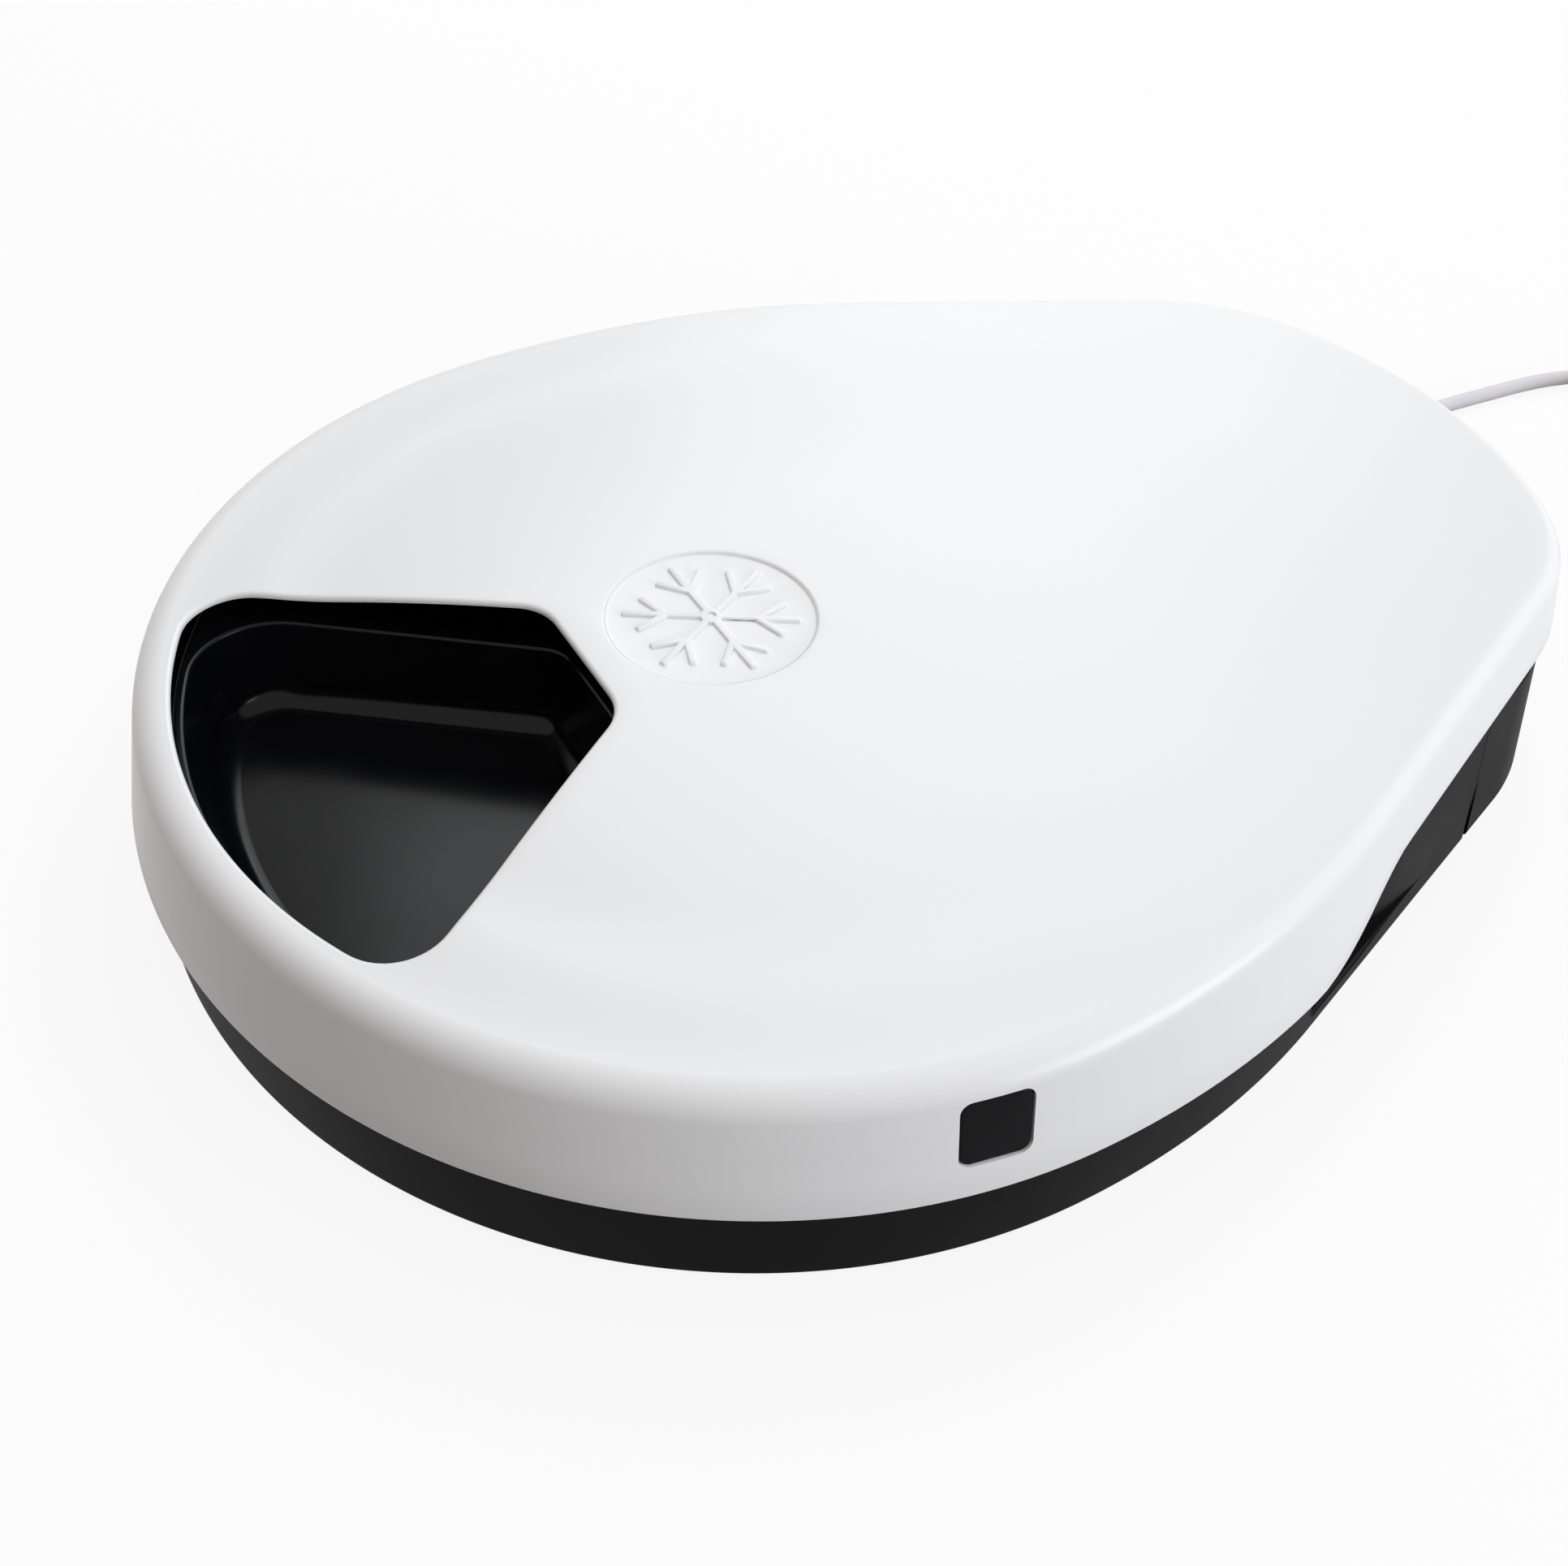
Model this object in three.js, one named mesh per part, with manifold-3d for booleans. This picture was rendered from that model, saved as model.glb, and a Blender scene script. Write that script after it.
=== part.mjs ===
// Automatic wet food feeder. A five-compartment tray turns under a white lid, one compartment
// at a time coming to the opening at the front. Ice packs lie under the tray, and the drive,
// the control board and the batteries are in the black base.
// Millimetres, +Z up, front at -Y, standing on Z = 0 under the middle of the outline.

import * as THREE from 'three';
import { mergeVertices } from 'three/addons/utils/BufferGeometryUtils.js';
import Module from 'manifold-3d';

const wasm = await Module();
wasm.setup();

const degree = Math.PI / 180;
const quarterTurn = 90 * degree;

// Fits shared by all pieces
const gap = 0.3; // between pieces that touch
const overrun = 1; // how far a cutter passes the face that it cuts
const sink = 0.2; // how far joined shapes reach into each other

// Outline of the lid, seen from above, about the tray's axis
const lidWidth = 310;
const traySideRoom = 25; // from the tray to the lid's edge
const trayFrontRoom = 13;
const rearRoom = 118.8;
const sideRadius = 230;
const sideTaper = 24.4 * degree;
const lidCornerRadius = 70;
const lidRearRadius = 140;

// Outline of the base's foot. At the rear its walls lean in up to the lid's edge.
const baseFrontInset = 3.3;
const baseSideRadius = 222;
const baseSideTaper = 21 * degree;
const baseRearInset = 4.8;
const baseCornerRadius = 72;
const baseRearRadius = 142;
const baseLean = 5;
const baseLeanStart = 60;
const baseLeanEnd = 160;

// Heights of the lid
const seamFront = 26.5;
const seamRear = 41;
const recessStart = 80;
const recessEnd = 122;
const crestFront = 57.7;
const crestRear = 61.3;
const crestRiseStart = -10;
const crestRiseEnd = 133;
const shoulderFront = 7.5;
const shoulderRear = 5;
const troughFront = 59.2;
const troughRear = 60.3;
const troughWidth = 24;
const domeHeight = 63.6;
const domeFlatRadius = 31;
const lidLean = 10.8 * degree;
const lidWall = 2.5;

// Opening in the lid
const openingHalfAngle = 35 * degree;
const openingApex = 4;
const openingRadius = 129;
const openingInner = 33.4;
const openingOuterFillet = 13.5;
const openingInnerFillet = 11;

// Snow crystal on the lid
const medallionRadius = 26;
const medallionDepth = 0.8;
const crystalReach = 22;
const crystalBar = 1.7;
const crystalArms = 6;
const crystalRing = 2.6;
const forkShare = 0.5; // of the arm's length, out to its fork
const twigShare = 0.42; // of the arm's length, for each side twig
const twigAngle = 42 * degree;

// Base shell
const footHeight = 1.4;
const baseBottom = 1.7;
const baseWall = 3.6;
const rimInset = 3.3;
const rimWall = 2.5;
const rimTop = 38;
const deckInset = 6;
const deckWall = 2.2;
const deckTop = 46;
const deckPlate = 2.5;
const deckReach = 152.8; // from the lid's rear end
const wellRoom = 1.6; // round the tray
const wellWall = 2.5;
const wellFloorTop = 7.5;
const wellFloorPlate = 1.8;
const housingRadius = 63;
const housingWall = 2.5;
const housingTop = 22;
const housingRoof = 2.2;
const rearCoverLength = 76.8;
const rearCoverWall = 3;
const scoopReach = 160.8; // from the lid's rear end
const scoopLength = 66;
const scoopDepth = 9;
const scoopFloor = 9;
const scoopWall = 2.4;

// Bottom cover, feet and screws
const coverPlate = 2.5;
const footRadius = 11;
const screwHeadRadius = 3.1;
const screwHeadHeight = 1.2;
const screwShankRadius = 1.5;
const screwBossRadius = 4;
const screwFit = 0.35;
const screwInset = 14; // from the well's wall
const screwAngles = [-135, -45, 22, 158];
const rearScrewInset = 15; // from the base's side
const rearScrewReach = 57.8; // from the lid's rear end
const frontFootInset = 9.6; // from the well's wall
const frontFootAngle = 53.4 * degree;
const rearFootInset = 30;
const rearFootReach = 95.3;

// Tray
const compartments = 5;
const trayTop = 49.5;
const trayFlange = 2.4;
const trayWall = 2;
const pocketRim = 3;
const pocketInner = 31.5;
const spokeHalf = 2.6;
const pocketLean = 4;
const pocketRound = 6;
const pocketOuterFillet = 19;
const pocketInnerFillet = 9;
const hubRadius = 12.5;
const hubHeadWall = 7;

// Drive
const shaftRadius = 6;
const collarRadius = 11;
const collarHeight = 2;
const hexRadius = 8;
const bushWall = 2;
const bushFlangeRadius = 10;
const bushFlange = 0.8;
const gearModule = 1.5;
const gearTeeth = 48;
const pinionTeeth = 12;
const gearThickness = 4.5;
const gearBottom = 14.6;
const pressureAngle = 20 * degree;
const backlash = 0.22;
const gearTipShare = 0.75; // of the module, above the pitch circle
const gearRootShare = 1.25; // of the module, below the pitch circle
const motorShaftRadius = 1.9;
const motorRadius = 15;
const motorTop = 13;
const thrustBossHeight = 2;
const stopBumpRadius = 30;
const stopBump = 1.2;

// Ice packs
const iceInner = 66;
const iceRoom = 3.6; // to the well's wall
const iceHeight = 14;
const iceHalfAngle = 80 * degree;
const iceCorner = 12;

// Release buttons
const buttonAngle = -9.9 * degree;
const buttonWidth = 16;
const buttonLow = 35;
const buttonHigh = 51.5;
const buttonCorner = 2.5;
const buttonFlange = 1.8;
const buttonFlangeTop = 0.7;
const buttonFlangeThick = 1;
const buttonFlangeInset = 8.5; // from the lid's side, as the next two
const buttonStemRadius = 1.5;
const buttonTravel = 2.2;
const bracketInset = 13.7;
const bracketPlate = 1.2;
const bracketSide = 1.6;
const bracketLow = 31;
const notchInset = 16.5;
const notchFloor = 28;
const springRadius = 2.9;
const springWire = 0.6;
const springCurls = 4;

// Controls on the rear deck
const panelWidth = 118;
const panelDepth = 34;
const panelThick = 1.2;
const panelReach = 67; // from the lid's rear end
const keyRadius = 5.5;
const keyFlange = 1.6;
const keyFlangeThick = 1.4;
const keyProud = 2;
const keyTravel = 1;
const keyNames = ['key_set', 'key_down', 'key_up'];
const keyFirst = 16;
const keyPitch = 17;
const windowWidth = 52;
const windowDepth = 20;
const windowX = -26;
const windowLens = 1.6;
const boardThick = 1.6;
const boardTop = 37;
const boardWidth = 122;
const boardDepth = 38;
const switchHeight = 1.6;
const switchSize = 6;

// Batteries
const cellRadius = 13;
const cellLength = 49;
const cellCount = 3;
const cellPitch = 27;
const cellTipRadius = 3;
const cellTip = 1.4;
const boxWall = 1.8;
const contactThick = 0.6;
const contactBump = 1.5;
const boxX = 14;
const doorMargin = 2;

// Supply cord
const cordDiameter = 5;
const cordSides = 8;
const cordLift = 0.1;
const plugHeight = 12;
const plugTurn = 16 * degree; // about the middle of the base's rear arc
const socketWidth = 12;
const socketThick = 7;
const socketDepth = 14;
const plugBodyWidth = 10.5;
const plugBodyThick = 7.6;
const plugBodyLength = 20;
const plugTongueWidth = 8.4;
const plugTongueThick = 2.6;
const plugTongueLength = 6;
const reliefLength = 22;
const reliefRoot = 7.2;
const reliefTip = 5.8;
const coilMeanRadius = 28.6;
const coilPitch = 5.6;
const coilTurns = 3.5; // in each of the two layers
const coilSides = 6;
const coilSteps = 24; // in each turn
const coilEntry = [-46, 410];
const tailLength = 34;
const tieWidth = 7;
const tieThick = 0.8;
const tieSlack = 0.35;
const supplyShellWidth = 12;
const supplyShellThick = 4.5;
const supplyShellLength = 18;
const supplyBodyWidth = 15.6;
const supplyBodyThick = 8;
const supplyBodyLength = 24;
const supplyShellWall = 0.5;

// Route of the cord's free stretch, after the strain relief and up to the coil
const cordRoute = [
  [-54.8, 293, 9.4],
  [-56.7, 301.5, 5.8],
  [-58, 310, 3.4],
  [-58.6, 319, 2.6],
  [-58.4, 330, 2.6],
  [-57.7, 344, 2.6],
  [-56.9, 358, 2.6],
  [-55.5, 370, 2.6],
  [-53.2, 380, 2.6],
  [-50.4, 389, 2.7],
  [-47.6, 398, 3.2],
  [-46.1, 405, 3.7],
];

// Smoothness
const frontSteps = 12;
const sideSteps = 6;
const lineSteps = 5;
const cornerSteps = 4;
const rearSteps = 4;
const wellSides = 48;
const roundSides = 20;
const medallionSides = 40;
const housingSides = 36;
const postSides = 10;

// Colours, roughness and metalness
const whitePlastic = { color: 0xf1f3f5, roughness: 0.28, metalness: 0 };
const blackPlastic = { color: 0x1c1c1f, roughness: 0.42, metalness: 0 };
const trayPlastic = { color: 0x0b0c10, roughness: 0.22, metalness: 0 };
const rubber = { color: 0x2a2a2c, roughness: 0.85, metalness: 0 };
const acetal = { color: 0xe8e4d8, roughness: 0.5, metalness: 0 };
const steel = { color: 0xb9bcc0, roughness: 0.35, metalness: 1 };
const brass = { color: 0xc9a34e, roughness: 0.35, metalness: 1 };
const greenBoard = { color: 0x1f5a3a, roughness: 0.5, metalness: 0 };
const icePlastic = { color: 0x9fc6e8, roughness: 0.4, metalness: 0 };
const smokedLens = { color: 0x20242a, roughness: 0.1, metalness: 0 };
const greyKey = { color: 0x8d9197, roughness: 0.5, metalness: 0 };
const cellSleeve = { color: 0x3f6f9a, roughness: 0.4, metalness: 0 };
const cordJacket = { color: 0xd9d7dc, roughness: 0.5, metalness: 0 };

// Small sums
const mix = (a, b, share) => a + (b - a) * share;
function ease(value, start, end) {
  const share = Math.min(1, Math.max(0, (value - start) / (end - start)));
  return share * share * (3 - 2 * share);
}
const seamHeight = (y) => mix(seamFront, seamRear, ease(y, recessStart, recessEnd));
const rise = (y) => ease(y, crestRiseStart, crestRiseEnd);
const crestHeight = (y) => mix(crestFront, crestRear, rise(y));
const shoulder = (y) => mix(shoulderFront, shoulderRear, rise(y));
const troughHeight = (y) => mix(troughFront, troughRear, rise(y));
const leanInset = (z) => (z - seamFront) * Math.tan(lidLean);

// Solids

function solidOf(geometry) {
  geometry.deleteAttribute('normal');
  geometry.deleteAttribute('uv');
  const merged = mergeVertices(geometry, 1e-4);
  const vertProperties = new Float32Array(merged.attributes.position.array);
  const triVerts = new Uint32Array(merged.index.array);
  return new wasm.Manifold(new wasm.Mesh({ numProp: 3, vertProperties, triVerts }));
}

function geometryOf(solid) {
  const mesh = solid.getMesh();
  const geometry = new THREE.BufferGeometry();
  geometry.setAttribute('position', new THREE.BufferAttribute(mesh.vertProperties, 3));
  geometry.setIndex(new THREE.BufferAttribute(mesh.triVerts, 1));
  return geometry;
}

function union(...solids) {
  return solids.reduce((all, next) => all.add(next));
}

function prism(points, low, high) {
  const shape = new THREE.Shape(points.map(([x, y]) => new THREE.Vector2(x, y)));
  const geometry = new THREE.ExtrudeGeometry(shape, { depth: high - low, bevelEnabled: false });
  return solidOf(geometry.translate(0, 0, low));
}

function circle(radius, sides = roundSides, x = 0, y = 0, start = 0) {
  return Array.from({ length: sides }, (_, i) => {
    const angle = start + (i / sides) * 2 * Math.PI;
    return [x + radius * Math.cos(angle), y + radius * Math.sin(angle)];
  });
}

function disc(radius, low, high, sides = roundSides, x = 0, y = 0, start = 0) {
  return prism(circle(radius, sides, x, y, start), low, high);
}

function tube(inner, outer, low, high, sides = roundSides, x = 0, y = 0) {
  const core = disc(inner, low - overrun, high + overrun, sides, x, y);
  return disc(outer, low, high, sides, x, y).subtract(core);
}

function box(x0, x1, y0, y1, z0, z1) {
  const geometry = new THREE.BoxGeometry(x1 - x0, y1 - y0, z1 - z0);
  return solidOf(geometry.translate((x0 + x1) / 2, (y0 + y1) / 2, (z0 + z1) / 2));
}

function roundedBox(width, depth, radius, low, high, x = 0, y = 0) {
  const quarter = 3;
  const points = [];
  for (let corner = 0; corner < 4; corner += 1) {
    const cx = x + (corner === 0 || corner === 3 ? 1 : -1) * (width / 2 - radius);
    const cy = y + (corner < 2 ? 1 : -1) * (depth / 2 - radius);
    for (let i = 0; i <= quarter; i += 1) {
      const angle = (corner + i / quarter) * quarterTurn;
      points.push([cx + radius * Math.cos(angle), cy + radius * Math.sin(angle)]);
    }
  }
  return prism(points, low, high);
}

// Joins rings of as many points each. It closes both ends, where a ring bulges all round, or
// joins the last ring to the first.
function loft(rings, closed = false) {
  const count = rings[0].length;
  const positions = rings.flat(2);
  const index = [];
  const bands = closed ? rings.length : rings.length - 1;
  for (let k = 0; k < bands; k += 1) {
    const next = (k + 1) % rings.length;
    for (let i = 0; i < count; i += 1) {
      const j = (i + 1) % count;
      const [a, b, c, d] = [k * count + i, k * count + j, next * count + j, next * count + i];
      index.push(a, b, c, a, c, d);
    }
  }
  if (!closed) {
    const last = (rings.length - 1) * count;
    for (let i = 1; i < count - 1; i += 1) {
      index.push(0, i + 1, i);
      index.push(last, last + i, last + i + 1);
    }
  }
  if (volumeOf(positions, index) < 0) {
    for (let i = 0; i < index.length; i += 3) {
      [index[i], index[i + 1]] = [index[i + 1], index[i]];
    }
  }
  const geometry = new THREE.BufferGeometry();
  geometry.setAttribute('position', new THREE.Float32BufferAttribute(positions, 3));
  geometry.setIndex(index);
  return solidOf(geometry);
}

function volumeOf(positions, index) {
  const corner = (i) => new THREE.Vector3().fromArray(positions, 3 * index[i]);
  let sum = 0;
  for (let i = 0; i < index.length; i += 3) {
    sum += corner(i).dot(corner(i + 1).cross(corner(i + 2)));
  }
  return sum;
}

// Places of the tray and of the outlines' ends, along the middle
const trayRadius = lidWidth / 2 - traySideRoom;
const frontReach = trayRadius + trayFrontRoom;
const rearReach = trayRadius + rearRoom;
const circleCentreY = lidWidth / 2 - frontReach;

// Outlines. Each point has a place and the direction that points out of the outline there. The
// front is a half circle, the sides are an arc and a straight line, and the rear is an arc with
// a rounder corner at each end.
function outline({ front, side, taper, corner, rear, rearRadius }) {
  const out = [Math.cos(taper), Math.sin(taper)];
  const along = [-out[1], out[0]];
  const sideCentre = [front - side, circleCentreY];
  const rearCentre = [0, rear - rearRadius];
  const reach = sideCentre[0] * out[0] + sideCentre[1] * out[1] + side;
  const lineX = out[0] * (reach - corner) - rearCentre[0];
  const lineY = out[1] * (reach - corner) - rearCentre[1];
  const half = lineX * along[0] + lineY * along[1];
  const far = lineX ** 2 + lineY ** 2 - (rearRadius - corner) ** 2;
  const slide = Math.sqrt(half ** 2 - far) - half;
  const cornerCentre = [0, 1].map((k) => out[k] * (reach - corner) + along[k] * slide);
  const rearAngle = Math.atan2(cornerCentre[1] - rearCentre[1], cornerCentre[0]);
  const points = [];
  const arc = ([cx, cy], radius, from, to, steps, first) => {
    for (let i = first; i <= steps; i += 1) {
      const angle = mix(from, to, i / steps);
      const [nx, ny] = [Math.cos(angle), Math.sin(angle)];
      points.push({ x: cx + radius * nx, y: cy + radius * ny, nx, ny });
    }
  };
  arc([0, circleCentreY], front, -quarterTurn, 0, frontSteps, 0);
  arc(sideCentre, side, 0, taper, sideSteps, 1);
  const lineStart = points.at(-1);
  const lineEnd = { x: cornerCentre[0] + corner * out[0], y: cornerCentre[1] + corner * out[1] };
  for (let i = 1; i < lineSteps; i += 1) {
    const share = i / lineSteps;
    const x = mix(lineStart.x, lineEnd.x, share);
    const y = mix(lineStart.y, lineEnd.y, share);
    points.push({ x, y, nx: out[0], ny: out[1] });
  }
  arc(cornerCentre, corner, taper, rearAngle, cornerSteps, 0);
  arc(rearCentre, rearRadius, rearAngle, quarterTurn, rearSteps, 1);
  const mirrored = points.slice(1, -1).reverse();
  return [...points, ...mirrored.map(({ x, y, nx, ny }) => ({ x: -x, y, nx: -nx, ny }))];
}

const baseFrontRadius = lidWidth / 2 - baseFrontInset;
const baseRear = rearReach - baseRearInset;
const lidOutline = outline({
  front: lidWidth / 2,
  side: sideRadius,
  taper: sideTaper,
  corner: lidCornerRadius,
  rear: rearReach,
  rearRadius: lidRearRadius,
});
const baseOutline = outline({
  front: baseFrontRadius,
  side: baseSideRadius,
  taper: baseSideTaper,
  corner: baseCornerRadius,
  rear: baseRear,
  rearRadius: baseRearRadius,
});

function ring(plan, inset, height) {
  return plan.map(({ x, y, nx, ny }) => {
    const depth = typeof inset === 'function' ? inset(y) : inset;
    const z = typeof height === 'function' ? height(y) : height;
    return [x - depth * nx, y - depth * ny, z];
  });
}

// How far the base's wall leans in at a height
function leanIn(y, z) {
  const share = (z - baseBottom) / (seamHeight(y) - baseBottom);
  return baseLean * ease(y, baseLeanStart, baseLeanEnd) * Math.min(1, Math.max(0, share));
}

// A ring of the base at a height that may change along its length
function baseRing(inset, height) {
  const heightAt = typeof height === 'function' ? height : () => height;
  return ring(baseOutline, (y) => inset + leanIn(y, heightAt(y)), heightAt);
}

const baseBlock = (inset, low, high) => loft([baseRing(inset, low), baseRing(inset, high)]);

// The base's side face along its length, at its foot: its place and its outward direction.
function sideFace(y) {
  const centreX = baseFrontRadius - baseSideRadius;
  const angle = Math.min(baseSideTaper, Math.asin((y - circleCentreY) / baseSideRadius));
  const [nx, ny] = [Math.cos(angle), Math.sin(angle)];
  const arcX = centreX + baseSideRadius * nx;
  const arcY = circleCentreY + baseSideRadius * ny;
  return { x: arcX - ((y - arcY) * ny) / nx, y, nx, ny };
}

// A compartment of the tray or the opening over it: two slanted sides, an arc outside and a
// straight side inside, with rounded corners. An inset draws all sides in alike.
function sector(size, inset = 0) {
  const { halfAngle } = size;
  const apex = size.apex + inset / Math.sin(halfAngle);
  const outer = size.outer - inset;
  const inner = size.inner + inset;
  const outerFillet = Math.max(size.outerFillet - inset, size.innerFillet / 2);
  const innerFillet = Math.max(size.innerFillet - inset / 2, size.innerFillet / 2);
  const along = [Math.sin(halfAngle), -Math.cos(halfAngle)];
  const inward = [-Math.cos(halfAngle), -Math.sin(halfAngle)];
  const from = (depth, run) => [
    inward[0] * depth + along[0] * run,
    inward[1] * depth + along[1] * run - apex,
  ];
  const [fx, fy] = from(outerFillet, 0);
  const half = fx * along[0] + fy * along[1];
  const reach = outer - outerFillet;
  const run = -half + Math.sqrt(half * half - (fx * fx + fy * fy) + reach * reach);
  const outerCentre = from(outerFillet, run);
  const innerRun = (-(inner + innerFillet) - from(innerFillet, 0)[1]) / along[1];
  const innerCentre = from(innerFillet, innerRun);
  const turn = Math.atan2(outerCentre[1], outerCentre[0]);
  const points = [];
  const arc = ([cx, cy], radius, start, end, steps, first) => {
    for (let i = first; i <= steps; i += 1) {
      const angle = mix(start, end, i / steps);
      points.push([cx + radius * Math.cos(angle), cy + radius * Math.sin(angle)]);
    }
  };
  arc([0, 0], outer, -quarterTurn, turn, 4, 0);
  arc(outerCentre, outerFillet, turn, halfAngle, 3, 1);
  arc(innerCentre, innerFillet, halfAngle, quarterTurn, 2, 0);
  const left = points.slice(1).reverse().map(([x, y]) => [-x, y]);
  return [...points, ...left];
}

// A band between two radii, centred on +X, with rounded corners
function band(inner, outer, halfAngle, corner) {
  const points = [];
  const steps = 10;
  const roundSteps = 3;
  const sweepArc = (cx, cy, radius, start, end, count) => {
    for (let i = 0; i <= count; i += 1) {
      const angle = mix(start, end, i / count);
      points.push([cx + radius * Math.cos(angle), cy + radius * Math.sin(angle)]);
    }
  };
  const outerTurn = halfAngle - Math.asin(corner / (outer - corner));
  const innerTurn = halfAngle - Math.asin(corner / (inner + corner));
  const at = (radius, angle) => [radius * Math.cos(angle), radius * Math.sin(angle)];
  sweepArc(0, 0, outer, -outerTurn, outerTurn, steps);
  sweepArc(...at(outer - corner, outerTurn), corner, outerTurn, halfAngle + quarterTurn, roundSteps);
  sweepArc(
    ...at(inner + corner, innerTurn),
    corner,
    halfAngle + quarterTurn,
    innerTurn + 2 * quarterTurn,
    roundSteps,
  );
  sweepArc(0, 0, inner, innerTurn, -innerTurn, steps);
  sweepArc(
    ...at(inner + corner, -innerTurn),
    corner,
    2 * quarterTurn - innerTurn,
    3 * quarterTurn - halfAngle,
    roundSteps,
  );
  sweepArc(
    ...at(outer - corner, -outerTurn),
    corner,
    -quarterTurn - halfAngle,
    -outerTurn,
    roundSteps,
  );
  return points.filter(([x, y], i) => {
    const [px, py] = points.at(i - 1);
    return Math.hypot(x - px, y - py) > gap / 10;
  });
}

// Moves a solid, and turns it the right way out again if it was mirrored.
function moved(solid, matrix) {
  const geometry = geometryOf(solid).applyMatrix4(matrix);
  if (matrix.determinant() < 0) {
    const index = geometry.index.array;
    for (let i = 0; i < index.length; i += 3) {
      [index[i], index[i + 1]] = [index[i + 1], index[i]];
    }
  }
  return solidOf(geometry);
}

const mirror = new THREE.Matrix4().makeScale(-1, 1, 1);
const turnZ = (angle) => new THREE.Matrix4().makeRotationZ(angle);

// Turns a prism drawn in (across, up) so that it runs outwards along X.
const outwards = new THREE.Matrix4().makeBasis(
  new THREE.Vector3(0, 1, 0),
  new THREE.Vector3(0, 0, 1),
  new THREE.Vector3(1, 0, 0),
);

function roundedBar(width, height, corner, start, end, across, up) {
  return moved(roundedBox(width, height, corner, start, end, across, up), outwards);
}

function sweep(path, radius, sides, steps) {
  const section = new THREE.Shape(
    circle(radius, sides).map(([x, y]) => new THREE.Vector2(x, y)),
  );
  return solidOf(new THREE.ExtrudeGeometry(section, { steps, extrudePath: path }));
}

// A level tube through points, as rings
function levelTube(points, radius, sides) {
  const up = new THREE.Vector3(0, 0, 1);
  const rings = points.map((point, i) => {
    const before = points[Math.max(0, i - 1)];
    const after = points[Math.min(points.length - 1, i + 1)];
    const along = after.clone().sub(before).normalize();
    const side = along.clone().cross(up).normalize();
    const rise = side.clone().cross(along);
    return circle(radius, sides).map(([a, b]) => {
      const place = point.clone().addScaledVector(side, a).addScaledVector(rise, b);
      return place.toArray();
    });
  });
  return loft(rings);
}

function gearOutline(teeth, addendum, thinning, phase) {
  const pitchRadius = (teeth * gearModule) / 2;
  const baseRadius = pitchRadius * Math.cos(pressureAngle);
  const rootRadius = pitchRadius - gearRootShare * gearModule;
  const tipRadius = pitchRadius + addendum;
  const involute = (angle) => Math.tan(angle) - angle;
  const flank = (radius) => {
    const angle = Math.acos(Math.min(1, baseRadius / radius));
    const halfTooth = Math.PI / (2 * teeth) - thinning / (2 * pitchRadius);
    return halfTooth + involute(pressureAngle) - involute(angle);
  };
  const start = Math.max(rootRadius, baseRadius);
  const radii = [start, tipRadius];
  if (rootRadius < baseRadius) {
    radii.unshift(rootRadius);
  }
  const points = [];
  for (let tooth = 0; tooth < teeth; tooth += 1) {
    const centre = phase + (tooth / teeth) * 2 * Math.PI;
    const rising = radii.map((radius) => [radius, centre - flank(Math.max(radius, baseRadius))]);
    const falling = radii
      .map((radius) => [radius, centre + flank(Math.max(radius, baseRadius))])
      .reverse();
    for (const [radius, angle] of [...rising, ...falling]) {
      points.push([radius * Math.cos(angle), radius * Math.sin(angle)]);
    }
  }
  return points;
}

// Places that several pieces share
const coverTop = baseBottom + coverPlate;
const wellRadius = trayRadius + wellRoom;
const pocketRadius = trayRadius - pocketRim;
const iceOuter = wellRadius - iceRoom;
const rearCoverStart = rearReach - rearCoverLength;
const panelY = rearReach - panelReach;
const deckStart = rearReach - deckReach;
const scoopStart = rearReach - scoopReach;
const wellFloorBottom = wellFloorTop - wellFloorPlate;
const bushTop = housingTop + gap + bushFlange;
const collarTop = bushTop + gap + collarHeight;
const trayBottom = collarTop + gap;
const hexTop = trayTop - hubHeadWall;
const gearCentres = ((gearTeeth + pinionTeeth) * gearModule) / 2;
const gearTop = gearBottom + gearThickness;
const buttonMiddle = (buttonLow + buttonHigh) / 2;
const buttonFlangeAt = lidWidth / 2 - buttonFlangeInset;
const bracketAt = lidWidth / 2 - bracketInset;
const notchAt = lidWidth / 2 - notchInset;
const buttonHeight = buttonHigh - buttonLow;
const bracketHalfInside = buttonWidth / 2 + buttonFlange + gap;
const bracketHalf = bracketHalfInside + bracketSide;
const panelBottom = deckTop + gap;
const panelTop = panelBottom + panelThick;
const deckBottom = deckTop - deckPlate;
const boardBottom = boardTop - boardThick;
const buttonPlace = new THREE.Matrix4()
  .makeTranslation(0, circleCentreY, 0)
  .multiply(turnZ(buttonAngle));
const keyPlaces = keyNames.map((_, i) => [keyFirst + i * keyPitch, panelY]);
const screwCircle = wellRadius - screwInset;
const rearScrewY = rearReach - rearScrewReach;
const rearScrewX = sideFace(rearScrewY).x - rearScrewInset;
const screwPlaces = [
  ...screwAngles.map((angle) => [
    screwCircle * Math.cos(angle * degree), screwCircle * Math.sin(angle * degree),
  ]),
  ...[-1, 1].map((side) => [side * rearScrewX, rearScrewY]),
];
const frontFootCircle = wellRadius - frontFootInset;
const frontFootX = frontFootCircle * Math.cos(frontFootAngle);
const frontFootY = -frontFootCircle * Math.sin(frontFootAngle);
const rearFootY = rearReach - rearFootReach;
const rearFootX = sideFace(rearFootY).x - rearFootInset;
const footPlaces = {
  foot_front_left: [-frontFootX, frontFootY],
  foot_front_right: [frontFootX, frontFootY],
  foot_rear_left: [-rearFootX, rearFootY],
  foot_rear_right: [rearFootX, rearFootY],
};
const boxInsideWidth = cellCount * cellPitch + gap;
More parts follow.
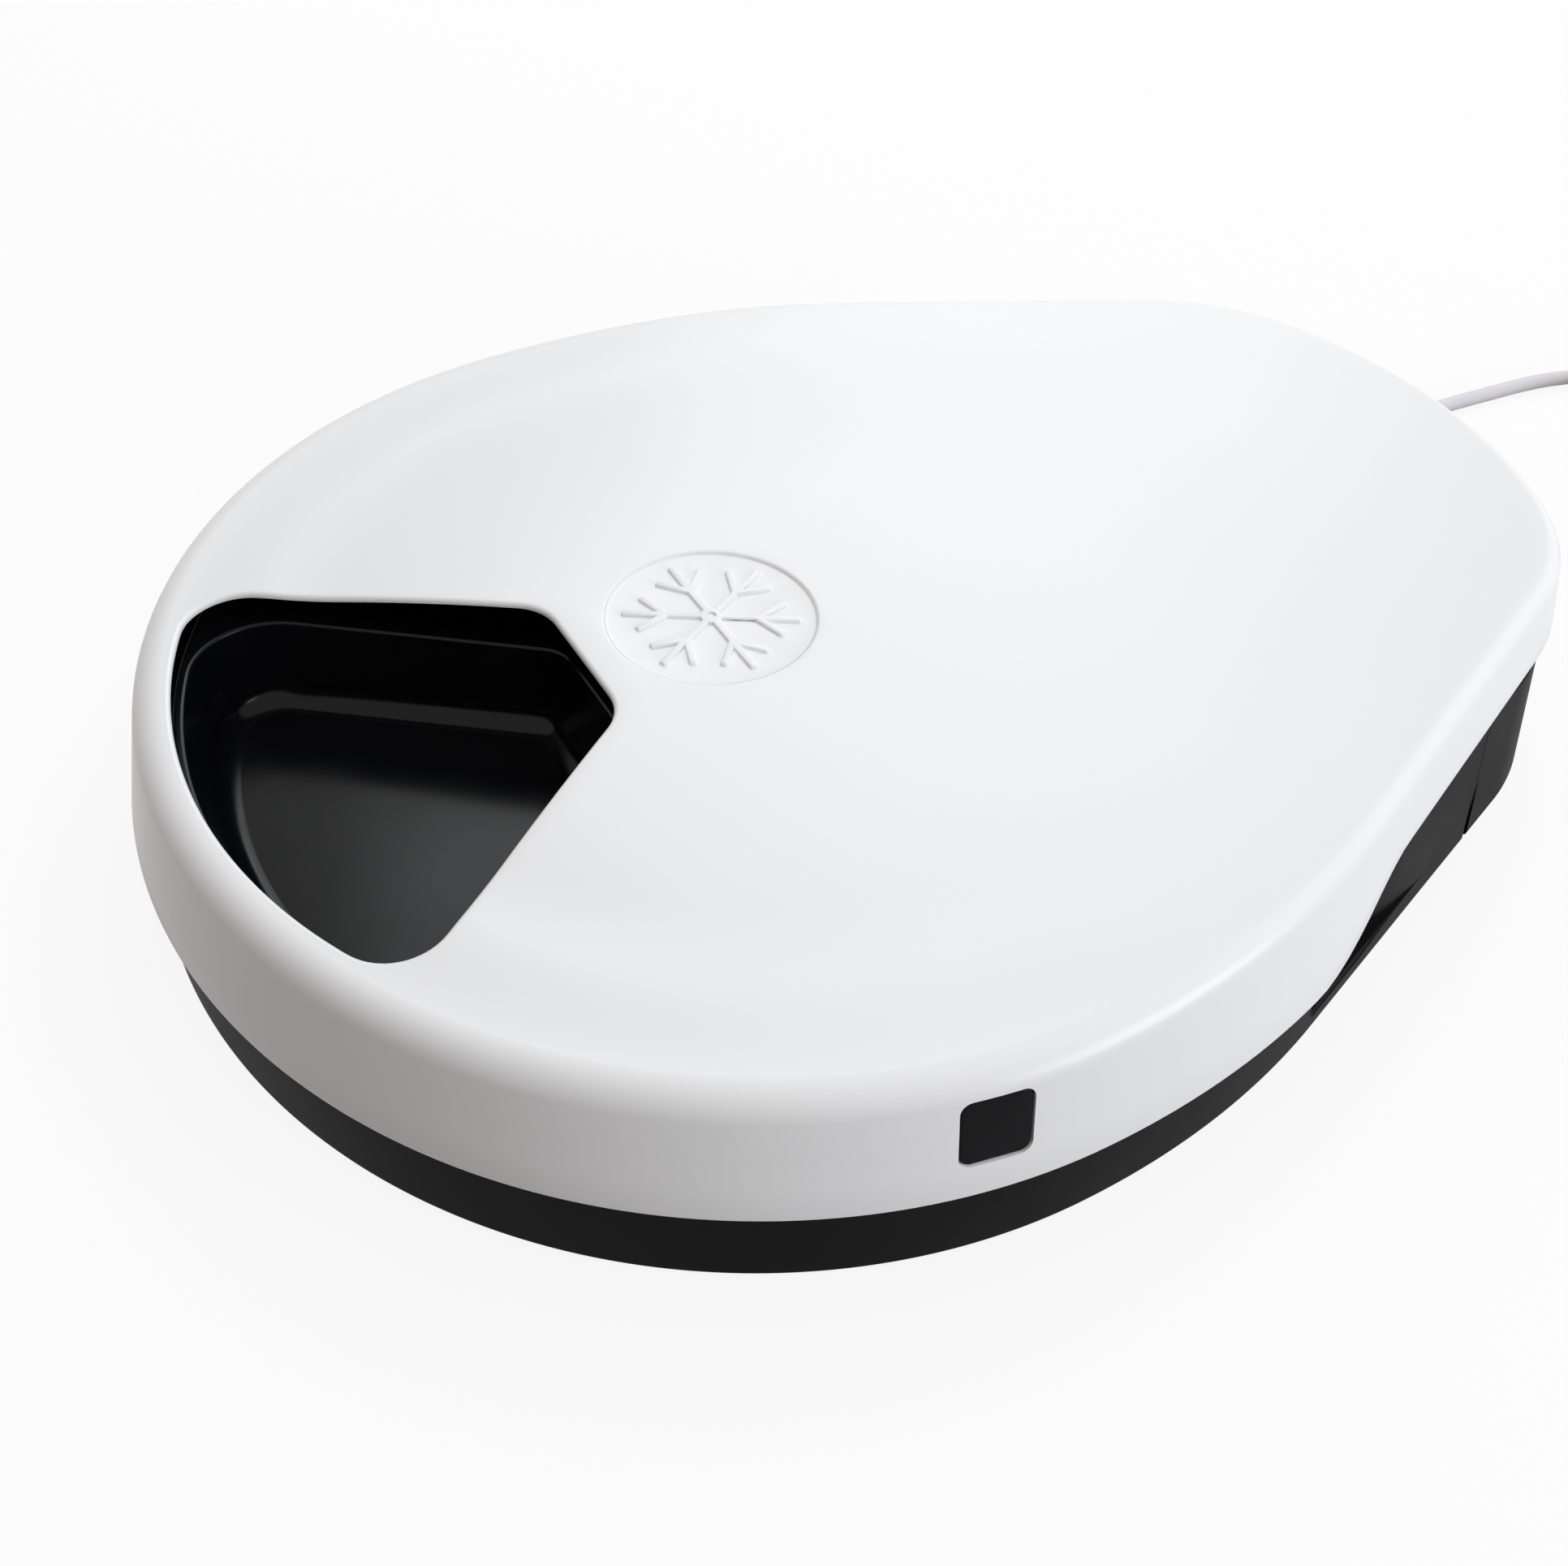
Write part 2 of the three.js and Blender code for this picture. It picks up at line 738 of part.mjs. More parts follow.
const boxInsideLength = cellLength + cellTip + 2 * contactThick + contactBump + 4 * gap;
const cellMiddle = coverTop + 3 * gap + cellRadius;
const boxTop = cellMiddle + cellRadius + 2 * gap + boxWall;

// Pieces

const pieces = new THREE.Group();

function addPiece(name, solid, look) {
  const mesh = new THREE.Mesh(geometryOf(solid), new THREE.MeshStandardMaterial(look));
  mesh.name = name;
  pieces.add(mesh);
  return mesh;
}

// Lid

// The lid's surface from the edge to the middle: the drafted skirt, the rounded shoulder up to
// the crest, the shallow trough inside it and the dome. Depth is the wall's thickness inwards.
function lidRings(depth, { roundShares, troughShares, domeShares }) {
  const rings = [];
  const skirtTop = (y) => crestHeight(y) - shoulder(y);
  const crestInset = (y) => leanInset(skirtTop(y)) + shoulder(y);
  rings.push(ring(lidOutline, (y) => leanInset(seamHeight(y)) + depth, seamHeight));
  for (const share of roundShares) {
    const angle = share * quarterTurn;
    const inset = (y) => leanInset(skirtTop(y)) + shoulder(y) * (1 - Math.cos(angle));
    const height = (y) => skirtTop(y) + shoulder(y) * Math.sin(angle);
    rings.push(ring(
      lidOutline,
      (y) => inset(y) + depth * Math.cos(angle),
      (y) => height(y) - depth * Math.sin(angle),
    ));
  }
  for (const share of troughShares) {
    rings.push(ring(
      lidOutline,
      (y) => crestInset(y) + troughWidth * share,
      (y) => mix(crestHeight(y), troughHeight(y), ease(share, 0, 1)) - depth,
    ));
  }
  const rim = rings.at(-1);
  for (const share of domeShares) {
    rings.push(rim.map(([x, y], i) => {
      const far = Math.hypot(x, y);
      const scale = mix(1, domeFlatRadius / far, share);
      const height = mix(troughHeight(lidOutline[i].y), domeHeight, 1 - (1 - share) ** 2);
      return [x * scale, y * scale, height - depth];
    }));
  }
  return rings;
}

function crystal(low, high) {
  const bars = [];
  for (let arm = 0; arm < crystalArms; arm += 1) {
    const turn = turnZ((arm / crystalArms) * 2 * Math.PI);
    const fork = crystalReach * forkShare;
    const twig = crystalReach * twigShare;
    bars.push(moved(box(0, crystalReach, -crystalBar / 2, crystalBar / 2, low, high), turn));
    for (const side of [-1, 1]) {
      const bend = new THREE.Matrix4()
        .makeTranslation(fork, 0, 0)
        .multiply(turnZ(side * twigAngle));
      const bar = box(0, twig, -crystalBar / 2, crystalBar / 2, low, high);
      bars.push(moved(bar, turn.clone().multiply(bend)));
    }
  }
  return union(...bars, disc(crystalRing, low, high, postSides));
}

const outerShares = {
  roundShares: [0, 1 / 3, 2 / 3, 1],
  troughShares: [0.4, 1],
  domeShares: [0.33, 0.67, 1],
};
const innerShares = { roundShares: [0, 1 / 3, 1], troughShares: [1], domeShares: [0.5, 1] };
const lidSkin = loft(lidRings(0, outerShares));
const lidInside = moved(lidSkin, new THREE.Matrix4().makeTranslation(0, 0, -lidWall / 2));

function bracket() {
  const inner = box(
    bracketAt, frontReach * 2, -bracketHalfInside, bracketHalfInside, 0, lidWidth,
  );
  const frame = box(
    bracketAt - bracketPlate, frontReach + circleCentreY, -bracketHalf, bracketHalf,
    bracketLow, crestFront,
  );
  const hole = roundedBar(
    2 * (buttonStemRadius + gap), 2 * (buttonStemRadius + gap), buttonStemRadius,
    bracketAt - 2 * bracketPlate, bracketAt + bracketPlate, 0, buttonMiddle,
  );
  return moved(frame.subtract(inner).subtract(hole), buttonPlace);
}

function buttonHole() {
  const bar = roundedBar(
    buttonWidth + 2 * gap, buttonHeight + 2 * gap, buttonCorner + gap,
    bracketAt + bracketPlate, lidWidth, 0, buttonMiddle,
  );
  return moved(bar, buttonPlace);
}

function makeLid() {
  const inside = lidRings(lidWall, innerShares).reverse();
  const shell = loft([...inside, ...lidRings(0, outerShares)]);
  const frame = bracket();
  const additions = union(frame, moved(frame, mirror)).intersect(lidInside);
  const opening = prism(
    sector({
      halfAngle: openingHalfAngle,
      apex: openingApex,
      outer: openingRadius,
      inner: openingInner,
      outerFillet: openingOuterFillet,
      innerFillet: openingInnerFillet,
    }),
    trayTop,
    domeHeight + overrun,
  );
  const medallionFloor = domeHeight - medallionDepth;
  const medallion = disc(
    medallionRadius, medallionFloor, domeHeight + overrun, medallionSides,
  );
  const hole = buttonHole();
  return shell
    .add(additions)
    .subtract(opening)
    .subtract(medallion)
    .add(crystal(medallionFloor - sink, domeHeight))
    .subtract(hole)
    .subtract(moved(hole, mirror));
}

addPiece('lid', makeLid(), whitePlastic);

// Release buttons and their springs

function makeButton() {
  const reachOut = lidWidth / 2;
  const cap = moved(
    roundedBar(
      buttonWidth, buttonHeight, buttonCorner, buttonFlangeAt - sink, reachOut, 0, buttonMiddle,
    ),
    buttonPlace,
  ).intersect(lidSkin);
  const flangeLow = buttonLow - buttonFlange;
  const flangeHigh = buttonHigh + buttonFlangeTop;
  const flange = box(
    buttonFlangeAt - buttonFlangeThick, buttonFlangeAt,
    -buttonWidth / 2 - buttonFlange, buttonWidth / 2 + buttonFlange, flangeLow, flangeHigh,
  );
  const stemEnd = notchAt + buttonTravel + gap;
  const stem = moved(
    disc(buttonStemRadius, stemEnd, buttonFlangeAt - buttonFlangeThick + sink, 12, 0, buttonMiddle),
    outwards,
  );
  return union(cap, moved(flange.add(stem), buttonPlace));
}

function makeSpring() {
  const start = bracketAt + gap + springWire / 2;
  const end = buttonFlangeAt - buttonFlangeThick - gap - springWire / 2;
  const steps = springCurls * 8;
  const points = Array.from({ length: steps + 1 }, (_, i) => {
    const angle = (i / 8) * 2 * Math.PI;
    return new THREE.Vector3(
      mix(start, end, i / steps),
      springRadius * Math.cos(angle),
      buttonMiddle + springRadius * Math.sin(angle),
    );
  });
  const path = new THREE.CatmullRomCurve3(points);
  return moved(sweep(path, springWire / 2, 5, steps), buttonPlace);
}

const button = makeButton();
const spring = makeSpring();
addPiece('release_button_right', button, blackPlastic);
addPiece('release_button_left', moved(button, mirror), blackPlastic);
addPiece('release_spring_right', spring, steel);
addPiece('release_spring_left', moved(spring, mirror), steel);

// Base shell

const halfBehind = (y) => box(-lidWidth, lidWidth, y, 2 * rearReach, -lidWidth, lidWidth);
const halfBefore = (y) => box(-lidWidth, lidWidth, -2 * rearReach, y, -lidWidth, lidWidth);

function sideWall(thickness) {
  const top = (y) => seamHeight(y) - gap;
  return loft([
    baseRing(0, baseBottom),
    baseRing(0, top),
    baseRing(thickness, top),
    baseRing(thickness, baseBottom),
  ], true);
}

// The finger recess in the base's side. Each share is one of its length, then of its depth.
const scoopShares = [[0, 0], [0.05, 0.7], [0.14, 1], [0.36, 0.88], [0.66, 0.42], [1, 0]];

function scoop(start, length, depth, outer, low, high) {
  const inside = scoopShares.map(([along, deep]) => {
    const { x, y, nx, ny } = sideFace(start + along * length);
    const inset = Math.max(deep * depth, outer + sink);
    return [x - inset * nx, y - inset * ny];
  });
  const outside = scoopShares.map(([along]) => {
    const { x, y, nx, ny } = sideFace(start + along * length);
    return [x - outer * nx, y - outer * ny];
  });
  return prism([...outside, ...inside.reverse()], low, high);
}

function postAt([x, y], low, high, radius) {
  return disc(radius, low, high, postSides, x, y);
}

function makeBaseShell() {
  const wellOuter = wellRadius + wellWall;
  const rim = baseBlock(rimInset, seamFront - baseWall, rimTop).subtract(
    baseBlock(rimInset + rimWall, 0, rimTop - rimWall),
  );
  const deck = baseBlock(deckInset, rimTop - 2 * baseWall, deckTop).intersect(halfBehind(deckStart));
  const bay = baseBlock(deckInset + deckWall, 0, deckBottom)
    .intersect(halfBehind(deckStart + deckWall))
    .subtract(disc(wellOuter, -overrun, deckTop, wellSides));
  const pocketWall = moved(
    box(
      notchAt - rimWall, lidWidth / 2, -bracketHalf - 2 * rimWall, bracketHalf + 2 * rimWall,
      notchFloor - rimWall, rimTop,
    ),
    buttonPlace,
  ).intersect(baseBlock(rimInset, 0, rimTop));
  const notch = moved(
    box(
      notchAt, lidWidth, -bracketHalf - overrun, bracketHalf + overrun,
      notchFloor, deckTop + overrun,
    ),
    buttonPlace,
  );
  const scoopBack = scoop(
    scoopStart - scoopWall, scoopLength + 2 * scoopWall, scoopDepth + scoopWall, rimInset,
    scoopFloor - scoopWall, rimTop,
  ).intersect(baseBlock(rimInset, 0, rimTop));
  const scoopCut = scoop(
    scoopStart, scoopLength, scoopDepth, -baseFrontInset, scoopFloor, rimTop + overrun,
  );
  const bosses = screwPlaces.map((place) => {
    const isRear = place[1] > wellOuter;
    return postAt(place, coverTop + gap, isRear ? deckTop - sink : wellFloorTop - sink,
      screwBossRadius);
  });
  const boardPosts = [-1, 1].flatMap((sx) => [-1, 1].map((sy) => [
    sx * (boardWidth / 2 - 3 * boardThick),
    panelY + sy * (boardDepth / 2 - 3 * boardThick),
  ])).map((place) => postAt(place, boardTop + gap, deckTop - sink, 1.5 * boardThick));
  const keyHoles = keyPlaces.map((place) => postAt(
    place, deckBottom - overrun, deckTop + overrun, keyRadius + gap,
  ));
  const pilots = screwPlaces.map((place) => postAt(
    place, 0, coverTop + gap + wellFloorPlate + gap, screwShankRadius + screwFit,
  ));
  const windowHole = roundedBox(
    windowWidth, windowDepth, windowLens, deckBottom - overrun, deckTop + overrun,
    windowX, panelY,
  );
  const front = sideWall(baseWall).intersect(halfBefore(rearCoverStart));
  const outerShell = union(front, rim, deck, pocketWall, moved(pocketWall, mirror))
    .add(disc(wellOuter, wellFloorBottom, rimTop, wellSides))
    .add(union(scoopBack, moved(scoopBack, mirror)))
    .subtract(bay)
    .subtract(disc(wellRadius, wellFloorTop, deckTop + overrun, wellSides))
    .subtract(notch)
    .subtract(moved(notch, mirror))
    .subtract(scoopCut)
    .subtract(moved(scoopCut, mirror));
  return outerShell
    .add(disc(housingRadius, wellFloorBottom, housingTop, housingSides))
    .add(union(...bosses, ...boardPosts))
    .subtract(disc(housingRadius - housingWall, 0, housingTop - housingRoof, housingSides))
    .subtract(disc(shaftRadius + bushWall + 2 * gap, 0, housingTop + overrun, roundSides))
    .subtract(union(...keyHoles, ...pilots))
    .subtract(windowHole);
}

addPiece('base_shell', makeBaseShell(), blackPlastic);

// Rear cover, with the hole for the supply plug

const plugPlace = new THREE.Matrix4()
  .makeTranslation(0, baseRear - baseRearRadius, 0)
  .multiply(turnZ(plugTurn));
const rearWall = (z) => baseRearRadius - leanIn(baseRear, z);

// Along the plug: a bar drawn in (across, up) that runs to the rear
function plugBar(width, height, corner, start, end) {
  const bar = roundedBar(width, height, corner, start, end, 0, plugHeight);
  return moved(bar, plugPlace.clone().multiply(turnZ(quarterTurn)));
}

const plugHole = plugBar(
  plugTongueWidth + 2 * gap, plugTongueThick + 2 * gap, gap,
  rearWall(plugHeight) - socketDepth, baseRearRadius + overrun,
);
addPiece(
  'rear_cover',
  sideWall(rearCoverWall).intersect(halfBehind(rearCoverStart + gap)).subtract(plugHole),
  blackPlastic,
);

const socketFace = rearWall(plugHeight + socketThick / 2) - rearCoverWall - 3 * gap;
addPiece(
  'power_socket',
  plugBar(socketWidth, socketThick, 2 * gap, socketFace - socketDepth, socketFace)
    .subtract(plugHole),
  blackPlastic,
);

// Bottom cover, feet and screws

function makeBottomCover() {
  const plate = baseBlock(baseWall + gap, baseBottom, coverTop);
  const doorHole = roundedBox(
    boxInsideWidth + 2 * gap - 2 * doorMargin, boxInsideLength + 2 * gap - 2 * doorMargin,
    doorMargin, baseBottom - overrun, coverTop + overrun, boxX, panelY,
  );
  const thrustBoss = disc(shaftRadius, coverTop - sink, coverTop + thrustBossHeight, roundSides);
  const holes = screwPlaces.flatMap((place) => [
    postAt(place, 0, coverTop + overrun, screwShankRadius + screwFit),
    postAt(place, 0, baseBottom + screwHeadHeight + gap, screwHeadRadius + screwFit),
  ]);
  return plate.subtract(doorHole).add(thrustBoss).subtract(union(...holes));
}

addPiece('bottom_cover', makeBottomCover(), blackPlastic);
addPiece(
  'battery_door',
  roundedBox(
    boxInsideWidth - 2 * doorMargin, boxInsideLength - 2 * doorMargin, doorMargin - gap,
    baseBottom, coverTop, boxX, panelY,
  ),
  blackPlastic,
);
for (const [name, place] of Object.entries(footPlaces)) {
  addPiece(name, postAt(place, 0, footHeight, footRadius), rubber);
}
screwPlaces.forEach((place, i) => {
  const head = postAt(place, baseBottom, baseBottom + screwHeadHeight, screwHeadRadius);
  const shank = postAt(place, baseBottom, coverTop + wellFloorPlate, screwShankRadius);
  addPiece(`bottom_screw_${i + 1}`, head.add(shank), steel);
});

// Tray

const pocketSize = {
  halfAngle: Math.PI / compartments,
  apex: spokeHalf / Math.sin(Math.PI / compartments),
  outer: pocketRadius,
  inner: pocketInner,
  outerFillet: pocketOuterFillet,
  innerFillet: pocketInnerFillet,
};
const pocketFloor = trayBottom + trayWall;

function makeTray() {
  const level = (inset, z) => sector(pocketSize, inset).map(([x, y]) => [x, y, z]);
  const pocket = loft([
    level(0, trayTop + overrun),
    level(0, trayTop - trayFlange),
    level(pocketLean, pocketFloor + pocketRound),
    level(pocketLean + pocketRound * 0.3, pocketFloor + pocketRound * 0.3),
    level(pocketLean + pocketRound, pocketFloor),
  ]);
  const cup = loft([
    level(-trayWall, trayTop - trayFlange + sink),
    level(pocketLean - trayWall, pocketFloor + pocketRound),
    level(pocketLean + pocketRound * 0.3 - trayWall / 2, pocketFloor - trayWall / 2),
    level(pocketLean + pocketRound, trayBottom),
  ]);
  const turns = Array.from({ length: compartments }, (_, i) => turnZ((i / compartments) * 2 * Math.PI));
  const lip = tube(
    trayRadius - trayWall, trayRadius, trayTop - 3 * trayFlange, trayTop, wellSides,
  );
  const socket = disc(hexRadius + gap, trayBottom - overrun, hexTop + gap, 6);
  return disc(trayRadius, trayTop - trayFlange, trayTop, wellSides)
    .add(lip)
    .add(union(...turns.map((turn) => moved(cup, turn))))
    .add(disc(hubRadius, trayBottom, trayTop - sink, roundSides))
    .subtract(union(...turns.map((turn) => moved(pocket, turn))))
    .subtract(socket);
}

addPiece('food_tray', makeTray(), trayPlastic);

// Ice packs

const icePack = prism(
  band(iceInner, iceOuter, iceHalfAngle, iceCorner), wellFloorTop + gap,
  wellFloorTop + gap + iceHeight,
);
addPiece('ice_pack_right', icePack, icePlastic);
addPiece('ice_pack_left', moved(icePack, mirror), icePlastic);

// Drive

addPiece(
  'drive_spindle',
  union(
    disc(shaftRadius, coverTop + thrustBossHeight + gap, collarTop, roundSides),
    disc(collarRadius, bushTop + gap, collarTop, roundSides),
    disc(hexRadius, collarTop - sink, hexTop, 6),
  ),
  acetal,
);
addPiece(
  'spindle_bush',
  union(
    disc(shaftRadius + bushWall, housingTop - housingRoof, bushTop, roundSides),
    disc(bushFlangeRadius, housingTop + gap, bushTop, roundSides),
  ).subtract(disc(shaftRadius + gap, 0, trayTop, roundSides)),
  brass,
);

const stopBumps = Array.from({ length: compartments }, (_, i) => {
  const angle = (i / compartments) * 2 * Math.PI - quarterTurn;
  const place = [stopBumpRadius * Math.cos(angle), stopBumpRadius * Math.sin(angle)];
  return postAt(place, gearBottom - stopBump, gearBottom + sink, motorShaftRadius);
});
addPiece(
  'drive_gear',
  prism(gearOutline(gearTeeth, gearTipShare * gearModule, backlash, 0), gearBottom, gearTop)
    .add(union(...stopBumps))
    .subtract(disc(shaftRadius + gap, 0, trayTop, roundSides)),
  acetal,
);

const pinion = prism(
  gearOutline(pinionTeeth, gearModule, backlash, Math.PI / pinionTeeth), gearBottom, gearTop,
).subtract(disc(motorShaftRadius + gap, 0, trayTop, 12));
const toMotor = new THREE.Matrix4().makeTranslation(0, gearCentres, 0);
addPiece('motor_pinion', moved(pinion, toMotor), brass);
addPiece(
  'motor_shaft',
  disc(motorShaftRadius, motorTop + gap, gearTop, 12, 0, gearCentres),
  steel,
);
addPiece(
  'drive_motor',
  disc(motorRadius, coverTop + gap, motorTop, 32, 0, gearCentres),
  steel,
);

const switchLever = gearBottom - stopBump - gap;
addPiece(
  'index_switch',
  union(
    box(
      -switchSize, switchSize, -stopBumpRadius - switchSize / 2, -stopBumpRadius + switchSize / 2,
      coverTop + gap, switchLever - switchHeight,
    ),
    postAt([0, -stopBumpRadius], coverTop + gap, switchLever, switchHeight),
  ),
  blackPlastic,
);

// Controls on the rear deck

const panelPlate = roundedBox(
  panelWidth, panelDepth, panelDepth / 6, panelBottom, panelTop, 0, panelY,
);
const panelHoles = keyPlaces.map((place) => postAt(
  place, panelBottom - overrun, panelTop + overrun, keyRadius + gap,
));
const sight = roundedBox(
  windowWidth - 2 * windowLens, windowDepth - 2 * windowLens, windowLens,
  panelBottom - overrun, panelTop + overrun, windowX, panelY,
);
addPiece('control_panel', panelPlate.subtract(union(...panelHoles, sight)), greyKey);
addPiece(
  'display_window',
  roundedBox(
    windowWidth - 2 * gap, windowDepth - 2 * gap, windowLens, deckTop - windowLens, deckTop,
    windowX, panelY,
  ),
  smokedLens,
);
addPiece(
  'display_module',
  roundedBox(
    windowWidth - 2 * gap, windowDepth - 2 * gap, windowLens, boardTop + gap,
    deckTop - windowLens - gap, windowX, panelY,
  ),
  greyKey,
);
const keyBottom = boardTop + switchHeight + keyTravel + gap;
keyPlaces.forEach((place, i) => {
  const cap = postAt(place, keyBottom, panelTop + keyProud, keyRadius);
  const flange = postAt(
    place, deckBottom - gap - keyFlangeThick, deckBottom - gap, keyRadius + keyFlange,
  );
  addPiece(keyNames[i], cap.add(flange), greyKey);
});
const contacts = keyPlaces.map(([x]) => box(
  x - switchSize / 2, x + switchSize / 2, panelY - switchSize / 2, panelY + switchSize / 2,
  boardTop - sink, boardTop + switchHeight,
));
addPiece(
  'control_board',
  union(
    roundedBox(boardWidth, boardDepth, boardThick, boardBottom, boardTop, 0, panelY),
    ...contacts,
  ),
  greenBoard,
);

// Batteries

const boxHalfWidth = boxInsideWidth / 2;
const boxHalfLength = boxInsideLength / 2;
addPiece(
  'battery_box',
  box(
    boxX - boxHalfWidth - boxWall, boxX + boxHalfWidth + boxWall,
    panelY - boxHalfLength - boxWall, panelY + boxHalfLength + boxWall, coverTop + gap, boxTop,
  ).subtract(box(
    boxX - boxHalfWidth, boxX + boxHalfWidth, panelY - boxHalfLength, panelY + boxHalfLength,
    0, boxTop - boxWall,
  )),
  blackPlastic,
);
const contactFront = panelY - boxHalfLength + gap;
const contactRear = panelY + boxHalfLength - gap;
const cellMiddles = Array.from(
  { length: cellCount }, (_, i) => boxX + (i - (cellCount - 1) / 2) * cellPitch,
);
const alongY = turnZ(quarterTurn);

// A round bar along Y
function barY(radius, start, end, x, z, sides = roundSides) {
  const bar = moved(disc(radius, start, end, sides, -x, z), outwards);
  return moved(bar, alongY);
}

const contactHalf = cellRadius / 2;
const contactStrip = (y) => box(
  cellMiddles[0] - contactHalf, cellMiddles.at(-1) + contactHalf, y, y + contactThick,
  cellMiddle - contactHalf, cellMiddle + contactHalf,
);
addPiece(
  'battery_contacts_front',
  union(contactStrip(contactFront), ...cellMiddles.map((x) => barY(
    cellTipRadius, contactFront, contactFront + contactThick + contactBump, x, cellMiddle, 10,
  ))),
  steel,
);
addPiece('battery_contacts_rear', contactStrip(contactRear - contactThick), steel);
const cellFront = contactFront + contactThick + contactBump + gap;
cellMiddles.forEach((x, i) => {
  const cell = barY(cellRadius, cellFront, cellFront + cellLength, x, cellMiddle);
  const tipEnd = cellFront + cellLength + cellTip;
  const tip = barY(cellTipRadius, cellFront + cellLength - sink, tipEnd, x, cellMiddle, 12);
  addPiece(`battery_cell_${i + 1}`, cell.add(tip), cellSleeve);
});

// Flat cable from the motor to the control board
const cableWidth = 6;
const cableThick = 0.8;
const cableX = boxX - boxHalfWidth - boxWall - 2 * cableWidth;
const cableLow = coverTop + gap;
const cableRise = panelY - boardDepth / 2 + cableWidth;
addPiece(
  'motor_cable',
  union(
    box(
      cableX, -motorRadius - gap, gearCentres - cableWidth, gearCentres, cableLow,
      cableLow + cableThick,
    ),
    box(
      cableX, cableX + cableWidth, gearCentres - cableWidth, cableRise, cableLow,
      cableLow + cableThick,
    ),
    box(
      cableX, cableX + cableWidth, cableRise - cableThick, cableRise, cableLow,
      boardBottom - gap,
    ),
  ),
  greyKey,
);

// Supply cord

const plugFace = rearWall(plugHeight - plugBodyThick / 2) + gap;
const plugBodyEnd = plugFace + plugBodyLength;
const reliefEnd = plugBodyEnd + reliefLength;

function taper(startRadius, endRadius, start, end, sides) {
  const level = (radius, z) => circle(radius, sides).map(([x, y]) => [x, y, z]);
  return loft([level(startRadius, start), level(endRadius, end)]);
}

const reliefUp = new THREE.Matrix4().makeTranslation(0, 0, plugHeight);
const reliefPlace = plugPlace.clone()
  .multiply(reliefUp)
  .multiply(turnZ(quarterTurn))
  .multiply(outwards);
addPiece(
  'feeder_plug',
  plugBar(plugBodyWidth, plugBodyThick, plugBodyThick / 4, plugFace, plugBodyEnd).add(
    moved(taper(reliefRoot / 2, reliefTip / 2, plugBodyEnd - sink, reliefEnd, 12), reliefPlace),
  ),
  cordJacket,
);
addPiece(
  'feeder_plug_tongue',
  plugBar(
    plugTongueWidth, plugTongueThick, gap, plugFace - rearCoverWall - plugTongueLength,
    plugFace - gap,
  ),
  steel,
);

const coilLift = tieThick + tieSlack + cordLift;
const coilLow = coilLift + cordDiameter / 2;
const coilOuter = coilMeanRadius + (coilPitch * coilTurns) / 2;
const coilInner = coilMeanRadius - (coilPitch * coilTurns) / 2;
const coilCentre = [coilEntry[0] + coilOuter, coilEntry[1] + cordDiameter];
const layerStep = cordDiameter + (coilPitch - cordDiameter);
const allTurns = 2 * coilTurns + 0.5;

// Two layers: the turns spiral in, climb in the half turn where they reverse, and spiral out.
function coilPoint(turn) {
  const past = turn - coilTurns;
  const angle = Math.PI - turn * 2 * Math.PI;
  let radius = coilOuter - coilPitch * turn;
  if (past > 0) {
    radius = coilInner - (coilPitch / (2 * Math.PI)) * Math.sin(2 * Math.PI * past);
  }
  if (past > 0.5) {
    radius = coilInner + coilPitch * (past - 0.5);
  }
  return new THREE.Vector3(
    coilCentre[0] + radius * Math.cos(angle),
    coilCentre[1] + radius * Math.sin(angle),
    coilLow + layerStep * ease(past, 0, 0.5),
  );
}

function coilPath() {
  const steps = coilSteps * allTurns;
  const points = Array.from({ length: steps + 1 }, (_, i) => coilPoint(i / coilSteps));
  const start = new THREE.Vector3(coilEntry[0], coilEntry[1], coilLow);
  const last = points.at(-1);
  const low = supplyBodyThick / 2 + cordLift;
  const slope = [0.15, 0.35, 0.55, 0.75, 1].map((share) => new THREE.Vector3(
    last.x, last.y - (tailLength - cordDiameter) * share, mix(last.z, low, ease(share, 0, 1)),
  ));
  const end = new THREE.Vector3(last.x, last.y - tailLength, low);
  return [start, ...points, ...slope, end];
}

// The least distance between stretches of the coil that are not next to each other
function leastGap(points) {
  let least = Infinity;
  const apart = Math.ceil(coilSteps / 3);
  for (let i = 0; i < points.length; i += 1) {
    for (let j = i + apart; j < points.length; j += 1) {
      const line = new THREE.Line3(points[j - 1], points[j]);
      const near = line.closestPointToPoint(points[i], true, new THREE.Vector3());
      least = Math.min(least, near.distanceTo(points[i]));
    }
  }
  return least - cordDiameter;
}

const coilPoints = coilPath();
console.log(`least gap in the coil: ${leastGap(coilPoints).toFixed(2)} mm`);

const plugEnd = (distance) => new THREE.Vector3(0, distance, plugHeight).applyMatrix4(plugPlace);
const routePoints = [
  plugEnd(reliefEnd + gap),
  plugEnd(reliefEnd + gap + cordDiameter),
  ...cordRoute.map((point) => new THREE.Vector3(...point)),
  new THREE.Vector3(coilEntry[0], coilEntry[1] - gap, coilLow),
];
const cordPath = new THREE.CatmullRomCurve3(routePoints, false, 'centripetal');
addPiece('power_cord', sweep(cordPath, cordDiameter / 2, cordSides, 22), cordJacket);
addPiece('cord_coil', levelTube(coilPoints, cordDiameter / 2, coilSides), cordJacket);

